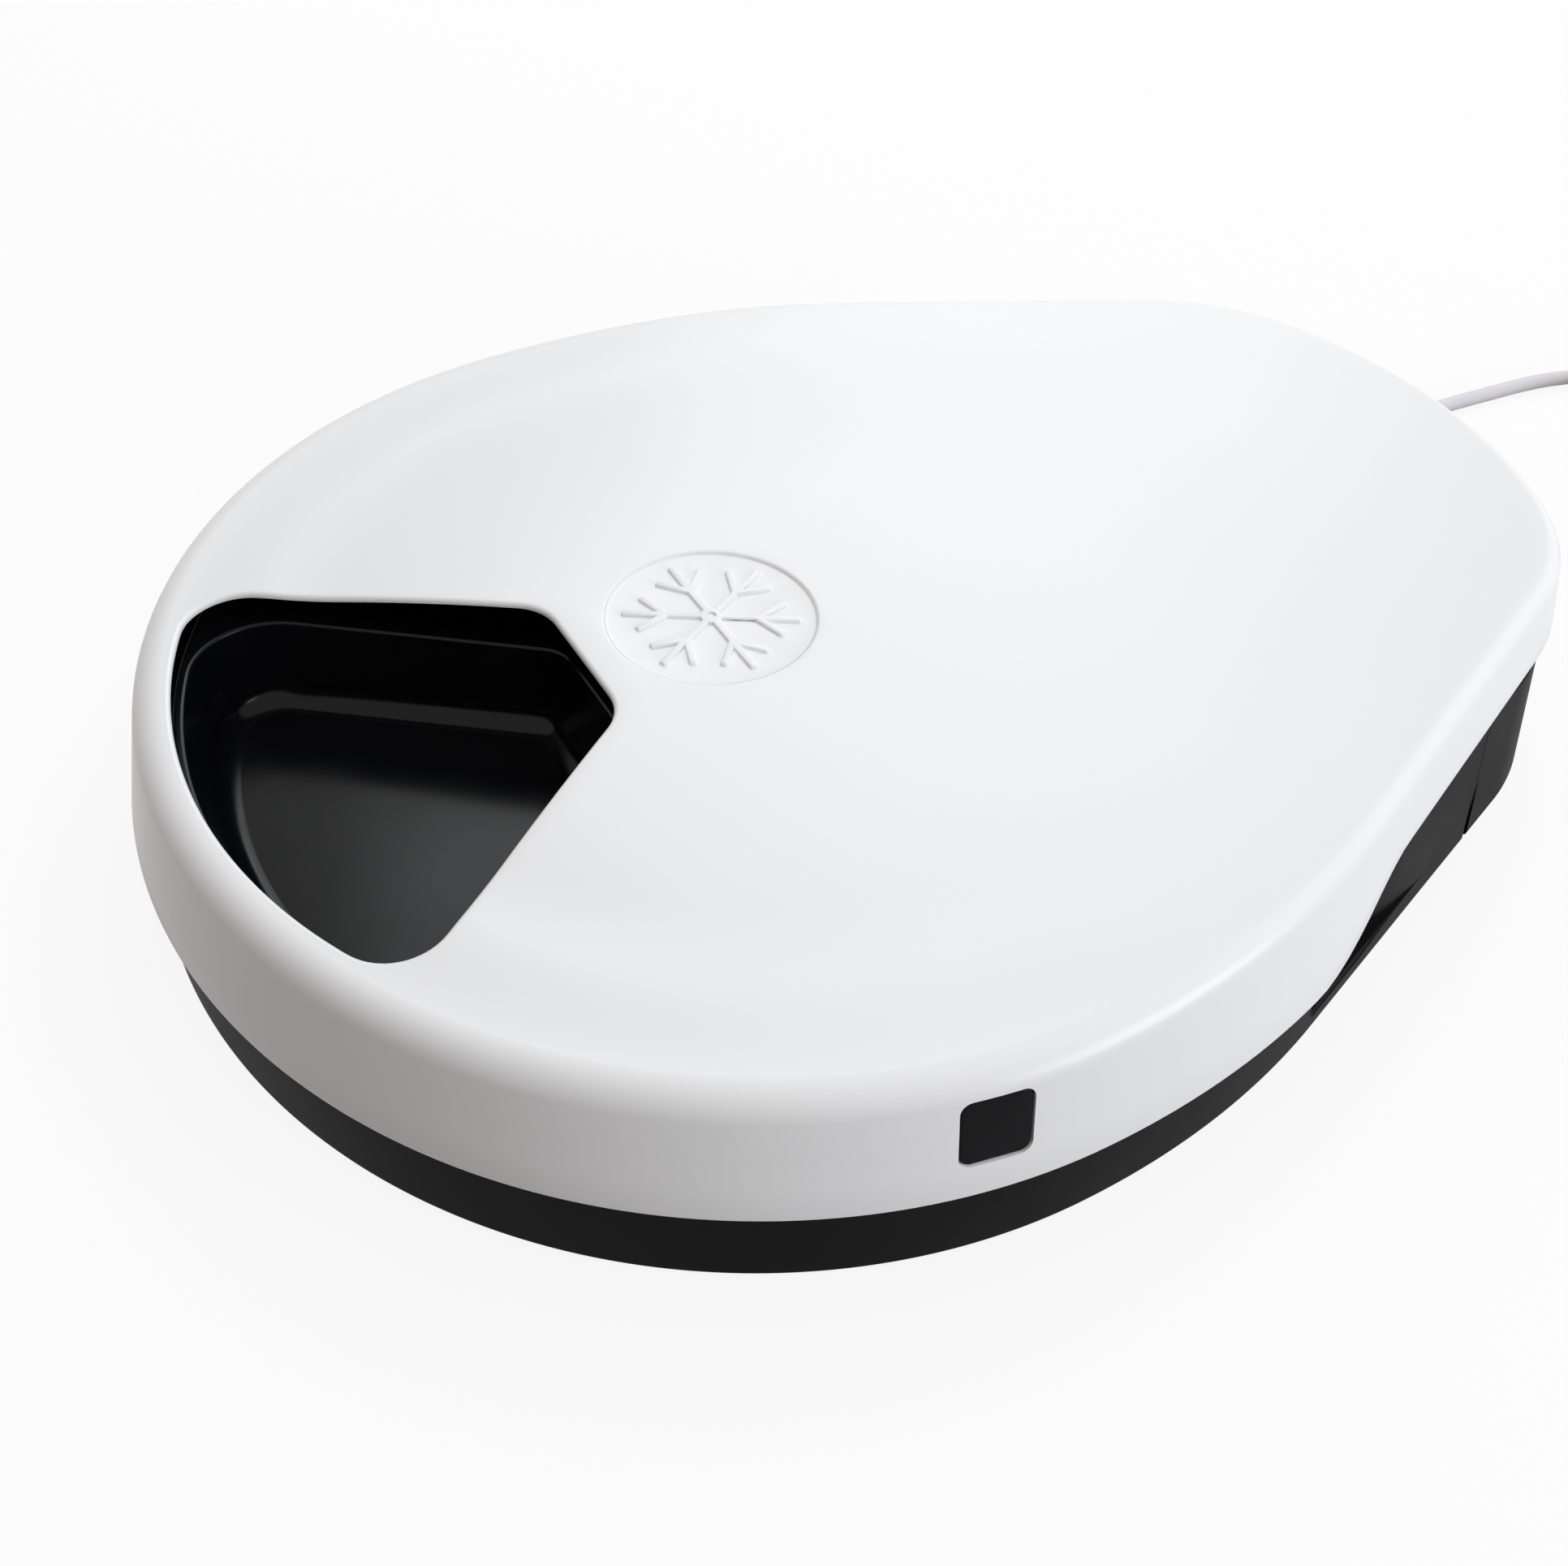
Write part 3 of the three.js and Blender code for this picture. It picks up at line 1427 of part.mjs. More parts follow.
const innerTurn = coilInner + coilPitch / 4 - cordDiameter / 2;
const bundleInner = Math.sqrt(innerTurn ** 2 - (tieWidth / 2) ** 2);
const bundleOuter = coilOuter - coilPitch / 4 + cordDiameter / 2;
const bundleHeight = layerStep + cordDiameter;
const tieMiddle = coilCentre[1] + (bundleInner + bundleOuter) / 2;
const tieBar = (room) => roundedBar(
  bundleOuter - bundleInner + 2 * room, bundleHeight + 2 * room, cordDiameter / 2,
  coilCentre[0] - tieWidth / 2 - (room < tieSlack + tieThick ? overrun : 0),
  coilCentre[0] + tieWidth / 2 + (room < tieSlack + tieThick ? overrun : 0),
  tieMiddle, coilLift + bundleHeight / 2,
);
addPiece('cord_tie', tieBar(tieSlack + tieThick).subtract(tieBar(tieSlack)), blackPlastic);

const supplyPlace = new THREE.Matrix4()
  .makeTranslation(coilPoints.at(-1).x, coilPoints.at(-1).y, coilPoints.at(-1).z)
  .multiply(turnZ(-quarterTurn));
const supplyBar = (width, thick, corner, start, end) => moved(
  roundedBar(width, thick, corner, start, end, 0, 0), supplyPlace,
);
const supplyNeck = supplyBodyLength / 3;
addPiece(
  'supply_plug',
  supplyBar(
    supplyBodyWidth, supplyBodyThick, supplyBodyThick / 4, supplyNeck, supplyBodyLength,
  ).add(moved(
    taper(reliefTip / 2, reliefRoot / 2, gap, supplyNeck + sink, 12),
    supplyPlace.clone().multiply(outwards),
  )),
  cordJacket,
);
const shellStart = supplyBodyLength + gap;
const shellCore = supplyShellWidth - 2 * supplyShellWall;
addPiece(
  'supply_plug_shell',
  supplyBar(
    supplyShellWidth, supplyShellThick, gap, shellStart, shellStart + supplyShellLength,
  ).subtract(supplyBar(
    shellCore, supplyShellThick - 2 * supplyShellWall, gap / 2,
    shellStart + supplyShellWall, shellStart + supplyShellLength + overrun,
  )),
  steel,
);

// The origin goes under the middle of the lid's edge.
const rearEdge = rearReach - leanInset(seamRear);
pieces.position.y = -(rearEdge - frontReach) / 2;
const feeder = new THREE.Group();
feeder.add(pieces);

export default feeder;
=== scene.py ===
import bisect
from math import asin, atan2, cos, hypot, pi, radians, sin, sqrt, tan

import bmesh
import bpy
from mathutils import Matrix, Vector


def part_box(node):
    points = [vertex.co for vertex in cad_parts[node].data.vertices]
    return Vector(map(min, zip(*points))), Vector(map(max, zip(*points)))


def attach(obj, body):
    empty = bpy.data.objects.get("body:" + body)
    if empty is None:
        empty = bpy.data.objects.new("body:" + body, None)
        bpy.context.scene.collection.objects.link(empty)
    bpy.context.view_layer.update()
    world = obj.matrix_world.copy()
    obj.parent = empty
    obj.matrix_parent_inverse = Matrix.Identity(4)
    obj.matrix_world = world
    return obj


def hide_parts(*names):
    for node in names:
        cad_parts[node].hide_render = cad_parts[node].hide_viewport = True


print("loading the frame")
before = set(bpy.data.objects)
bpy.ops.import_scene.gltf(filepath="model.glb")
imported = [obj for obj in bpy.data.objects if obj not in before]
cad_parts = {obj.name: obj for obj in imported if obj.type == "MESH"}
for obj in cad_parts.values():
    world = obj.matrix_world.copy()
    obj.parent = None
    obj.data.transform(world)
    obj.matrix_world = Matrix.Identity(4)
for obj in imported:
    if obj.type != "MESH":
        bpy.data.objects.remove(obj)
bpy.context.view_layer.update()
mm = 0.001
spindleLow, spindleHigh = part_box("drive_spindle")
trayY = (spindleLow.y + spindleHigh.y) / 2  # the tray's axis, which most sizes count from


# Small tools

def linked(name, data):
    body = bpy.data.objects.new(name, data)
    bpy.context.scene.collection.objects.link(body)
    return body


def turned(angle, axis="Z"):
    return Matrix.Rotation(angle, 4, axis)


def mix(a, b, share):
    return a + (b - a) * share


def ease(value, start=0.0, end=1.0):
    share = min(1.0, max(0.0, (value - start) / (end - start)))
    return share * share * (3 - 2 * share)


def spot(x, y, z=0.0):
    # millimetres from the tray's axis, on the floor, to the frame's metres
    return Vector((x * mm, y * mm + trayY, z * mm))


def linearColour(hexCode):
    parts = [int(hexCode[i:i + 2], 16) / 255 for i in (1, 3, 5)]
    return [c / 12.92 if c <= 0.04045 else ((c + 0.055) / 1.055) ** 2.4 for c in parts] + [1]


def addNode(tree, kind, settings=None, links=None):
    node = tree.nodes.new(kind)
    for name, value in (settings or {}).items():
        if isinstance(name, str) and hasattr(node, name):
            setattr(node, name, value)
        else:
            node.inputs[name].default_value = value
    for name, source in (links or {}).items():
        tree.links.new(source, node.inputs[name])
    return node


# Camera

cameraLook = {
    "place": (319.6, -173.5, 347.4),  # mm from the tray's axis
    "right": (0.4921, 0.8697, 0.0403),
    "up": (-0.6087, 0.3106, 0.7303),
    "lens": 43.06,
    "sensor": 36,
    "clip": (0.01, 50),  # m
}


def makeCamera(look):
    data = bpy.data.cameras.new("photoCamera")
    data.sensor_width = look["sensor"]
    data.lens = look["lens"]
    data.clip_start, data.clip_end = look["clip"]
    camera = linked("photoCamera", data)
    right = Vector(look["right"]).normalized()
    back = right.cross(Vector(look["up"])).normalized()
    up = back.cross(right)
    turn = Matrix((right, up, back)).transposed()
    camera.matrix_world = Matrix.Translation(spot(*look["place"])) @ turn.to_4x4()
    bpy.context.scene.camera = camera


makeCamera(cameraLook)
print("camera set")


# Materials

def newMaterial(name, surface):
    # surface holds the constants for the shader's own sockets
    material = bpy.data.materials.new(name)
    material.use_nodes = True
    tree = material.node_tree
    shader = tree.nodes["Principled BSDF"]
    for socket, value in surface.items():
        shader.inputs[socket].default_value = value
    return material, tree, shader


def dress(tree, shader, links, height, strength, depth):
    # the links go to the shader's sockets, and a bump of this depth in mm to its normal
    bump = addNode(tree, "ShaderNodeBump", {
        "Strength": strength, "Distance": depth * mm,
    }, {"Height": height})
    for socket, source in {**links, "Normal": bump.outputs["Normal"]}.items():
        tree.links.new(source, shader.inputs[socket])


def mouldedPlastic(name, look):
    # Moulded plastic: a colour with faint flow clouds, a gloss that varies from handling, and
    # the mould's fine texture as a bump: its size, strength and depth. Sizes in mm.
    material, tree, shader = newMaterial(name, look["surface"])
    coords = addNode(tree, "ShaderNodeTexCoord").outputs["Object"]
    clouds = addNode(tree, "ShaderNodeTexNoise", {
        "Scale": 1 / (look["clouds"] * mm), "Detail": 3.0, "Roughness": 0.5,
    }, {"Vector": coords})
    tint = addNode(tree, "ShaderNodeMix", {
        "data_type": "RGBA", 6: linearColour(look["colours"][0]),
        7: linearColour(look["colours"][1]),
    }, {0: clouds.outputs["Fac"]})
    wear = addNode(tree, "ShaderNodeTexNoise", {
        "Scale": 1 / (look["wear"] * mm), "Detail": 2.0, "Roughness": 0.5,
    }, {"Vector": coords})
    gloss = addNode(tree, "ShaderNodeMapRange", {
        "From Min": 0.15, "From Max": 0.85,
        "To Min": look["roughness"][0], "To Max": look["roughness"][1],
    }, {"Value": wear.outputs["Fac"]})
    size, strength, depth = look["grain"]
    grain = addNode(tree, "ShaderNodeTexNoise", {
        "Scale": 1 / (size * mm), "Detail": 2.0, "Roughness": 0.55,
    }, {"Vector": coords})
    links = {"Base Color": tint.outputs[2], "Roughness": gloss.outputs["Result"]}
    dress(tree, shader, links, grain.outputs["Fac"], strength, depth)
    return material


def workedMetal(name, look):
    # Metal with a stretched grain along one axis, as drawing or turning leaves it.
    material, tree, shader = newMaterial(name, {
        "Metallic": 1.0, "Base Color": linearColour(look["colour"]),
    })
    coords = addNode(tree, "ShaderNodeTexCoord").outputs["Object"]
    stretched = addNode(tree, "ShaderNodeMapping", {"Scale": look["stretch"]}, {"Vector": coords})
    grain = addNode(tree, "ShaderNodeTexNoise", {
        "Scale": 1 / (look["grainSize"] * mm), "Detail": 4.0, "Roughness": 0.6,
    }, {"Vector": stretched.outputs["Vector"]})
    gloss = addNode(tree, "ShaderNodeMapRange", {
        "From Min": 0.3, "From Max": 0.7,
        "To Min": look["roughness"][0], "To Max": look["roughness"][1],
    }, {"Value": grain.outputs["Fac"]})
    links = {"Roughness": gloss.outputs["Result"]}
    dress(tree, shader, links, grain.outputs["Fac"], strength=0.25, depth=0.02)
    return material


plasticLooks = {
    # ABS, polished mould: white with a soft even gloss
    "glossWhiteAbs": {
        "colours": ("#F0F3F6", "#F3F5F7"), "clouds": 90, "roughness": (0.27, 0.31), "wear": 60,
        "grain": (1.2, 0.03, 0.01), "surface": {"IOR": 1.5, "Specular IOR Level": 0.3},
    },
    # ABS, fine spark-eroded mould: satin black that greys where light glances off it
    "satinBlackAbs": {
        "colours": ("#060608", "#09090B"), "clouds": 60, "roughness": (0.46, 0.54), "wear": 25,
        "grain": (0.45, 0.35, 0.03), "surface": {"IOR": 1.2, "Specular IOR Level": 0.2},
    },
    # ABS, matt mould, for covers that face the floor
    "matteBlackAbs": {
        "colours": ("#18181A", "#1E1E20"), "clouds": 40, "roughness": (0.5, 0.62), "wear": 18,
        "grain": (0.6, 0.4, 0.05), "surface": {"IOR": 1.52},
    },
    # Food-safe polypropylene, polished: deep black with a clear reflection
    "polishedBlackPp": {
        "colours": ("#07080B", "#090A0E"), "clouds": 50, "roughness": (0.14, 0.22), "wear": 20,
        "grain": (2.2, 0.08, 0.03), "surface": {"IOR": 1.49, "Specular IOR Level": 0.18},
    },
    # ABS, semi-gloss, for the two release buttons
    "buttonBlackAbs": {
        "colours": ("#0D0D10", "#101013"), "clouds": 12, "roughness": (0.3, 0.38), "wear": 6,
        "grain": (0.4, 0.25, 0.02), "surface": {"IOR": 1.3, "Specular IOR Level": 0.15},
    },
    # Rubber, moulded: dull black with a dusty bloom
    "footRubber": {
        "colours": ("#262628", "#313132"), "clouds": 7, "roughness": (0.75, 0.9), "wear": 4,
        "grain": (0.35, 0.5, 0.05), "surface": {"IOR": 1.52},
    },
    # Polyethylene, blow moulded round a gel: pale blue, waxy
    "icePackPe": {
        "colours": ("#8FB9DE", "#A9CBE8"), "clouds": 22, "roughness": (0.34, 0.5), "wear": 12,
        "grain": (1.2, 0.3, 0.08),
        "surface": {"IOR": 1.5, "Subsurface Weight": 0.3, "Subsurface Scale": 0.004},
    },
    # Acetal, moulded: ivory and slightly waxy
    "ivoryAcetal": {
        "colours": ("#E6E1D2", "#EDE9DD"), "clouds": 10, "roughness": (0.36, 0.46), "wear": 5,
        "grain": (0.4, 0.15, 0.02),
        "surface": {"IOR": 1.48, "Subsurface Weight": 0.15, "Subsurface Scale": 0.001},
    },
    # ABS, satin grey, for the panel round the keys
    "panelGreyAbs": {
        "colours": ("#8A8E94", "#92969B"), "clouds": 25, "roughness": (0.38, 0.48), "wear": 10,
        "grain": (0.5, 0.3, 0.03), "surface": {"IOR": 1.52},
    },
    # Silicone keys: darker grey, soft
    "keySilicone": {
        "colours": ("#5E6268", "#676B70"), "clouds": 6, "roughness": (0.55, 0.68), "wear": 4,
        "grain": (0.3, 0.3, 0.03), "surface": {"IOR": 1.41},
    },
    # Shrink sleeve on a cell: thin blue film with a sharp gloss
    "cellSleeve": {
        "colours": ("#2F6494", "#3A72A4"), "clouds": 14, "roughness": (0.16, 0.26), "wear": 8,
        "grain": (1.8, 0.2, 0.03), "surface": {"IOR": 1.5},
    },
    # PVC jacket, extruded: soft off-white with a fine dulled gloss
    "cordPvc": {
        "colours": ("#DAD8DD", "#E2E0E4"), "clouds": 12, "roughness": (0.4, 0.5), "wear": 7,
        "grain": (0.5, 0.25, 0.03), "surface": {"IOR": 1.53},
    },
    # Flat cable sheath: grey vinyl
    "cableVinyl": {
        "colours": ("#8D9096", "#989BA0"), "clouds": 8, "roughness": (0.45, 0.55), "wear": 5,
        "grain": (0.4, 0.3, 0.03), "surface": {"IOR": 1.53},
    },
    # Display face: dark liquid crystal glass, greenish
    "displayGlass": {
        "colours": ("#5A6459", "#616B60"), "clouds": 30, "roughness": (0.12, 0.18), "wear": 20,
        "grain": (1.0, 0.05, 0.01), "surface": {"IOR": 1.52},
    },
    # Circuit board: glass laminate under green solder mask
    "greenLaminate": {
        "colours": ("#1E5B38", "#256941"), "clouds": 4, "roughness": (0.3, 0.42), "wear": 3,
        "grain": (0.6, 0.4, 0.03), "surface": {"IOR": 1.55},
    },
    # Smoked acrylic, polished, over the display
    "smokedAcrylic": {
        "colours": ("#3A3F46", "#41464D"), "clouds": 20, "roughness": (0.05, 0.09), "wear": 15,
        "grain": (1.5, 0.03, 0.01), "surface": {"IOR": 1.49, "Transmission Weight": 0.75},
    },
}
metalLooks = {
    # Spring wire, drawn
    "drawnSteelWire": {
        "colour": "#A9ABAF", "stretch": (1, 1, 1),
        "grainSize": 0.3, "roughness": (0.28, 0.4),
    },
    # Screws, zinc plated: bluish and slightly clouded
    "zincSteel": {
        "colour": "#B4B8BE", "stretch": (1, 1, 1),
        "grainSize": 0.8, "roughness": (0.26, 0.42),
    },
    # Motor can, deep drawn along its axis
    "drawnSteelCan": {
        "colour": "#B0B3B6", "stretch": (1, 1, 0.06),
        "grainSize": 0.5, "roughness": (0.3, 0.44),
    },
    # Brass, turned: rings round the axis
    "turnedBrass": {
        "colour": "#C9A35A", "stretch": (0.1, 0.1, 1),
        "grainSize": 0.3, "roughness": (0.24, 0.36),
    },
    # Contacts, nickel plated
    "nickelPlate": {
        "colour": "#C9C8C4", "stretch": (1, 1, 1),
        "grainSize": 0.7, "roughness": (0.16, 0.28),
    },
}
materials = {name: mouldedPlastic(name, look) for name, look in plasticLooks.items()}
materials.update({name: workedMetal(name, look) for name, look in metalLooks.items()})


def strapNylon():
    # Woven nylon hook-and-loop strap: a plain weave of 0.5 mm threads, drawn at that size
    material, tree, shader = newMaterial("strapNylon", {"Roughness": 0.85, "Sheen Weight": 0.4})
    coords = addNode(tree, "ShaderNodeTexCoord").outputs["Object"]
    threads = []
    bandWidth = 0.314  # of the wave texture, at a scale of 1
    for direction in ("Y", "Z"):
        wave = addNode(tree, "ShaderNodeTexWave", {
            "wave_type": "BANDS", "bands_direction": direction, "Scale": bandWidth / (0.5 * mm),
            "Distortion": 0.6, "Detail": 1.0,
        }, {"Vector": coords})
        threads.append(wave.outputs["Fac"])
    weave = addNode(tree, "ShaderNodeMath", {"operation": "MULTIPLY"}, {
        0: threads[0], 1: threads[1],
    })
    tint = addNode(tree, "ShaderNodeMix", {
        "data_type": "RGBA", 6: linearColour("#17171A"), 7: linearColour("#2C2C30"),
    }, {0: weave.outputs[0]})
    links = {"Base Color": tint.outputs[2]}
    dress(tree, shader, links, weave.outputs[0], strength=0.6, depth=0.15)
    return material


materials["strapNylon"] = strapNylon()
print("materials made")


# Outlines, in mm about the tray's axis. Each point comes with the direction that leads out there.

plans = {
    "lid": {
        "front": 155.0, "side": 230, "taper": 24.4, "corner": 70, "rear": 248.8, "rearRadius": 140,
    },
    "base": {
        "front": 151.7, "side": 222, "taper": 21, "corner": 72, "rear": 244, "rearRadius": 142,
    },
    "circleY": 12.0,  # middle of the half circle at the front
    "steps": (120, 50, 40),  # along the front, the side's arc and each stretch behind it
    "pocketSteps": (28, 14, 16, 12, 6),  # outer arc, its fillet, side, inner fillet, inner side
}
toFrame = Matrix.Translation((0, trayY, 0)) @ Matrix.Scale(mm, 4)
mirrorX = Matrix.Scale(-1, 4, (1, 0, 0))
fullTurn = 2 * pi


def arc(centre, radius, start, end, steps):
    # the last point is left to the next stretch
    points = []
    for i in range(steps):
        angle = mix(start, end, i / steps)
        out = Vector((cos(angle), sin(angle)))
        points.append((Vector(centre) + radius * out, out))
    return points


def mirroredRound(right):
    left = [(Vector((-p.x, p.y)), Vector((-out.x, out.y))) for p, out in right[-2:0:-1]]
    return right + left


def measured(plan):
    # where the plan's side line, its corner arc and its rear arc meet
    taper = radians(plan["taper"])
    out = Vector((cos(taper), sin(taper)))
    along = Vector((-out.y, out.x))
    sideCentre = Vector((plan["front"] - plan["side"], plans["circleY"]))
    rearCentre = Vector((0, plan["rear"] - plan["rearRadius"]))
    reach = sideCentre.dot(out) + plan["side"]
    line = out * (reach - plan["corner"]) - rearCentre
    half = line.dot(along)
    far = line.length_squared - (plan["rearRadius"] - plan["corner"]) ** 2
    cornerCentre = line + rearCentre + along * (sqrt(half ** 2 - far) - half)
    rearAngle = atan2(cornerCentre.y - rearCentre.y, cornerCentre.x)
    return taper, out, along, sideCentre, cornerCentre, rearCentre, reach, rearAngle


def planOutline(plan):
    taper, out, _, sideCentre, cornerCentre, rearCentre, _, rearAngle = measured(plan)
    lineStart = sideCentre + plan["side"] * out
    lineEnd = cornerCentre + plan["corner"] * out
    front, side, rest = plans["steps"]
    right = arc((0, plans["circleY"]), plan["front"], -pi / 2, 0, front)
    right += arc(sideCentre, plan["side"], 0, taper, side)
    right += [(lineStart.lerp(lineEnd, i / rest), out) for i in range(rest)]
    right += arc(cornerCentre, plan["corner"], taper, rearAngle, rest)
    right += arc(rearCentre, plan["rearRadius"], rearAngle, pi / 2, rest)
    right.append((Vector((0, plan["rear"])), Vector((0, 1))))
    return mirroredRound(right)


def depthIn(plan, x, y):
    # how deep a place lies inside the outline, and the outline's y straight outwards of it
    taper, out, along, sideCentre, cornerCentre, rearCentre, reach, rearAngle = plan["measured"]
    place = Vector((abs(x), y))
    centre, radius = Vector((0, plans["circleY"])), plan["front"]
    if y > plans["circleY"]:
        centre, radius = sideCentre, plan["side"]
        fromSide = place - sideCentre
        if atan2(fromSide.y, fromSide.x) > taper:
            if (place - cornerCentre).dot(along) < 0:
                depth = reach - place.dot(out)
                return depth, y + depth * out.y
            fromCorner = place - cornerCentre
            centre, radius = cornerCentre, plan["corner"]
            if atan2(fromCorner.y, fromCorner.x) > rearAngle:
                centre, radius = rearCentre, plan["rearRadius"]
    way = place - centre
    return radius - way.length, centre.y + way.normalized().y * radius


def sectorOutline(size, inset):
    # a compartment or the opening over it, all sides drawn in by the inset
    halfAngle = radians(size["halfAngle"])
    apex = size["apex"] + inset / sin(halfAngle)
    outer, inner = size["outer"] - inset, size["inner"] + inset
    outerFillet = max(size["outerFillet"] - inset, size["innerFillet"] / 2)
    innerFillet = max(size["innerFillet"] - inset / 2, size["innerFillet"] / 2)
    out = Vector((cos(halfAngle), sin(halfAngle)))
    along = Vector((out.y, -out.x))
    corner = -out * outerFillet - Vector((0, apex))
    half = corner.dot(along)
    run = sqrt(half ** 2 - corner.length_squared + (outer - outerFillet) ** 2) - half
    outerCentre = corner + along * run
    near = -out * innerFillet - Vector((0, apex))
    innerCentre = near + along * (-(inner + innerFillet + near.y) / along.y)
    turn = atan2(outerCentre.y, outerCentre.x)
    sideStart, sideEnd = outerCentre + out * outerFillet, innerCentre + out * innerFillet
    arcSteps, outerSteps, sideSteps, innerSteps, endSteps = plans["pocketSteps"]
    right = arc((0, 0), outer, -pi / 2, turn, arcSteps)
    right += arc(outerCentre, outerFillet, turn, halfAngle, outerSteps)
    right += [(sideStart.lerp(sideEnd, i / sideSteps), out) for i in range(sideSteps)]
    right += arc(innerCentre, innerFillet, halfAngle, pi / 2, innerSteps)
    for i in range(endSteps + 1):
        right.append((Vector((mix(innerCentre.x, 0, i / endSteps), -inner)), Vector((0, 1))))
    return mirroredRound(right)


def smoothed(points, cuts):
    # Points on a smooth line through the given ones
    fine = []
    for i in range(len(points) - 1):
        before = points[max(0, i - 1)]
        after = points[min(len(points) - 1, i + 2)]
        start, end = points[i], points[i + 1]
        for k in range(cuts):
            t = k / cuts
            fine.append(0.5 * (
                2 * start + (end - before) * t
                + (2 * before - 5 * start + 4 * end - after) * t ** 2
                + (3 * start - before - 3 * end + after) * t ** 3
            ))
    return fine + [points[-1]]


def onSpokes(points, hub, count):
    # the outline where evenly turned spokes from the hub cross it, from the front round
    turns = [atan2(p.x - hub[0], hub[1] - p.y) % fullTurn for p, out in points]
    turns[0] = 0.0
    turns.append(fullTurn)
    looped = points + points[:1]
    crossings = []
    for i in range(count):
        turn = fullTurn * i / count
        k = min(bisect.bisect_right(turns, turn), len(points)) - 1
        share = (turn - turns[k]) / (turns[k + 1] - turns[k])
        crossings.append(tuple(a.lerp(b, share) for a, b in zip(looped[k], looped[k + 1])))
    return crossings


# Solids, in mm about the tray's axis

weldReach = 0.0005  # vertices closer than this are one
sharpFrom = radians(32)  # an edge that turns further than this stays crisp
cornerShare = 0.29  # how far in the middle of a small quarter round lies
beyond = 400  # past every side of the part
outside = 200  # past the front
overhead = 100  # past the top
below = -5  # under the feet
bigSides = 288  # of the circles round the tray


def quarter(steps, radius=1.0):
    # a quarter round from (0, radius) to (radius, 0): how far in and how far from the end
    angles = [pi / 2 * i / steps for i in range(steps + 1)]
    return [(radius * (1 - cos(angle)), radius * (1 - sin(angle))) for angle in angles]


def roundedSection(width, height, corner, steps):
    # the middle of each corner's arc, with the way from there out to the section's edge
    section = []
    for i, (sideX, sideY) in enumerate(((1, 1), (-1, 1), (-1, -1), (1, -1))):
        middle = Vector((sideX * (width / 2 - corner), sideY * (height / 2 - corner)))
        for k in range(steps + 1):
            angle = (i + k / steps) * pi / 2
            section.append((middle, corner * Vector((cos(angle), sin(angle)))))
    return section


def skin(rings, closed=False):
    # A grid is laid over rings of as many points each, and its seam is welded.
    bm = bmesh.new()
    rows = rings + rings[:1] if closed else rings
    across = len(rows[0])
    bmesh.ops.create_grid(bm, x_segments=across, y_segments=len(rows) - 1, size=1)
    bm.verts.ensure_lookup_table()
    for i, ring in enumerate(rows):
        for k in range(across + 1):
            bm.verts[i * (across + 1) + k].co = ring[k % across]
    bmesh.ops.remove_doubles(bm, verts=bm.verts[:], dist=weldReach)
    if not closed:
        bmesh.ops.holes_fill(bm, edges=[edge for edge in bm.edges if edge.is_boundary], sides=0)
    return bm


def solid(bm, place=None):
    if place:
        bmesh.ops.transform(bm, matrix=place, verts=bm.verts[:])
    bmesh.ops.recalc_face_normals(bm, faces=bm.faces[:])
    mesh = bpy.data.meshes.new("solid")
    bm.to_mesh(mesh)
    bm.free()
    return linked("solid", mesh)


def block(low, high, place=None, soft=0.0):
    bm = bmesh.new()
    size = [b - a for a, b in zip(low, high)]
    middle = [(a + b) / 2 for a, b in zip(low, high)]
    bmesh.ops.create_cube(bm, size=1)
    bmesh.ops.scale(bm, vec=size, verts=bm.verts[:])
    bmesh.ops.translate(bm, vec=middle, verts=bm.verts[:])
    if soft:
        bmesh.ops.bevel(
            bm, geom=bm.edges[:], offset=soft, segments=3, affect="EDGES", profile=0.5,
            clamp_overlap=True, material=-1,
        )
    return solid(bm, place)


def rod(radius, low, high, x=0.0, y=0.0, sides=96, soft=0.0, place=None):
    bm = bmesh.new()
    bmesh.ops.create_cone(
        bm, cap_ends=True, segments=sides, radius1=radius, radius2=radius, depth=high - low,
    )
    bmesh.ops.translate(bm, vec=(x, y, (low + high) / 2), verts=bm.verts[:])
    if soft:
        rims = [edge for edge in bm.edges if edge.calc_face_angle() > 1]
        bmesh.ops.bevel(
            bm, geom=rims, offset=soft, segments=4, affect="EDGES", profile=0.5, material=-1,
        )
    return solid(bm, place)


def spun(profile, sides=128, place=None):
    # profile: (radius, height) points; the shape is closed at the axis
    bm = bmesh.new()
    points = [bm.verts.new((radius, 0, height)) for radius, height in profile]
    edges = [bm.edges.new(pair) for pair in zip(points, points[1:])]
    bmesh.ops.spin(
        bm, geom=points + edges, cent=(0, 0, 0), axis=(0, 0, 1), angle=fullTurn, steps=sides,
        use_merge=True,
    )
    bmesh.ops.remove_doubles(bm, verts=bm.verts[:], dist=weldReach)
    return solid(bm, place)


def roundedBar(width, height, corner, start, end, up, place=None):
    # a bar along +X with a rounded section in (across, up)
    section = [middle + out for middle, out in roundedSection(width, height, corner, 6)]
    rings = [[(x, across, up + rest) for across, rest in section] for x in (start, end)]
    return solid(skin(rings), place)


def plus(body):
    return "UNION", body


def minus(body):
    return "DIFFERENCE", body


def common(body):
    return "INTERSECT", body


def carve(body, steps, solver="MANIFOLD"):
    # steps: operations, each with the solid that it uses up, one after the other
    for operation, tool in steps:
        step = body.modifiers.new("carve", "BOOLEAN")
        step.operation = operation
        step.solver = solver
        step.object = tool
    depsgraph = bpy.context.evaluated_depsgraph_get()
    mesh = bpy.data.meshes.new_from_object(body.evaluated_get(depsgraph))
    body.modifiers.clear()
    body.data = mesh
    for operation, tool in steps:
        bpy.data.objects.remove(tool)
    return body


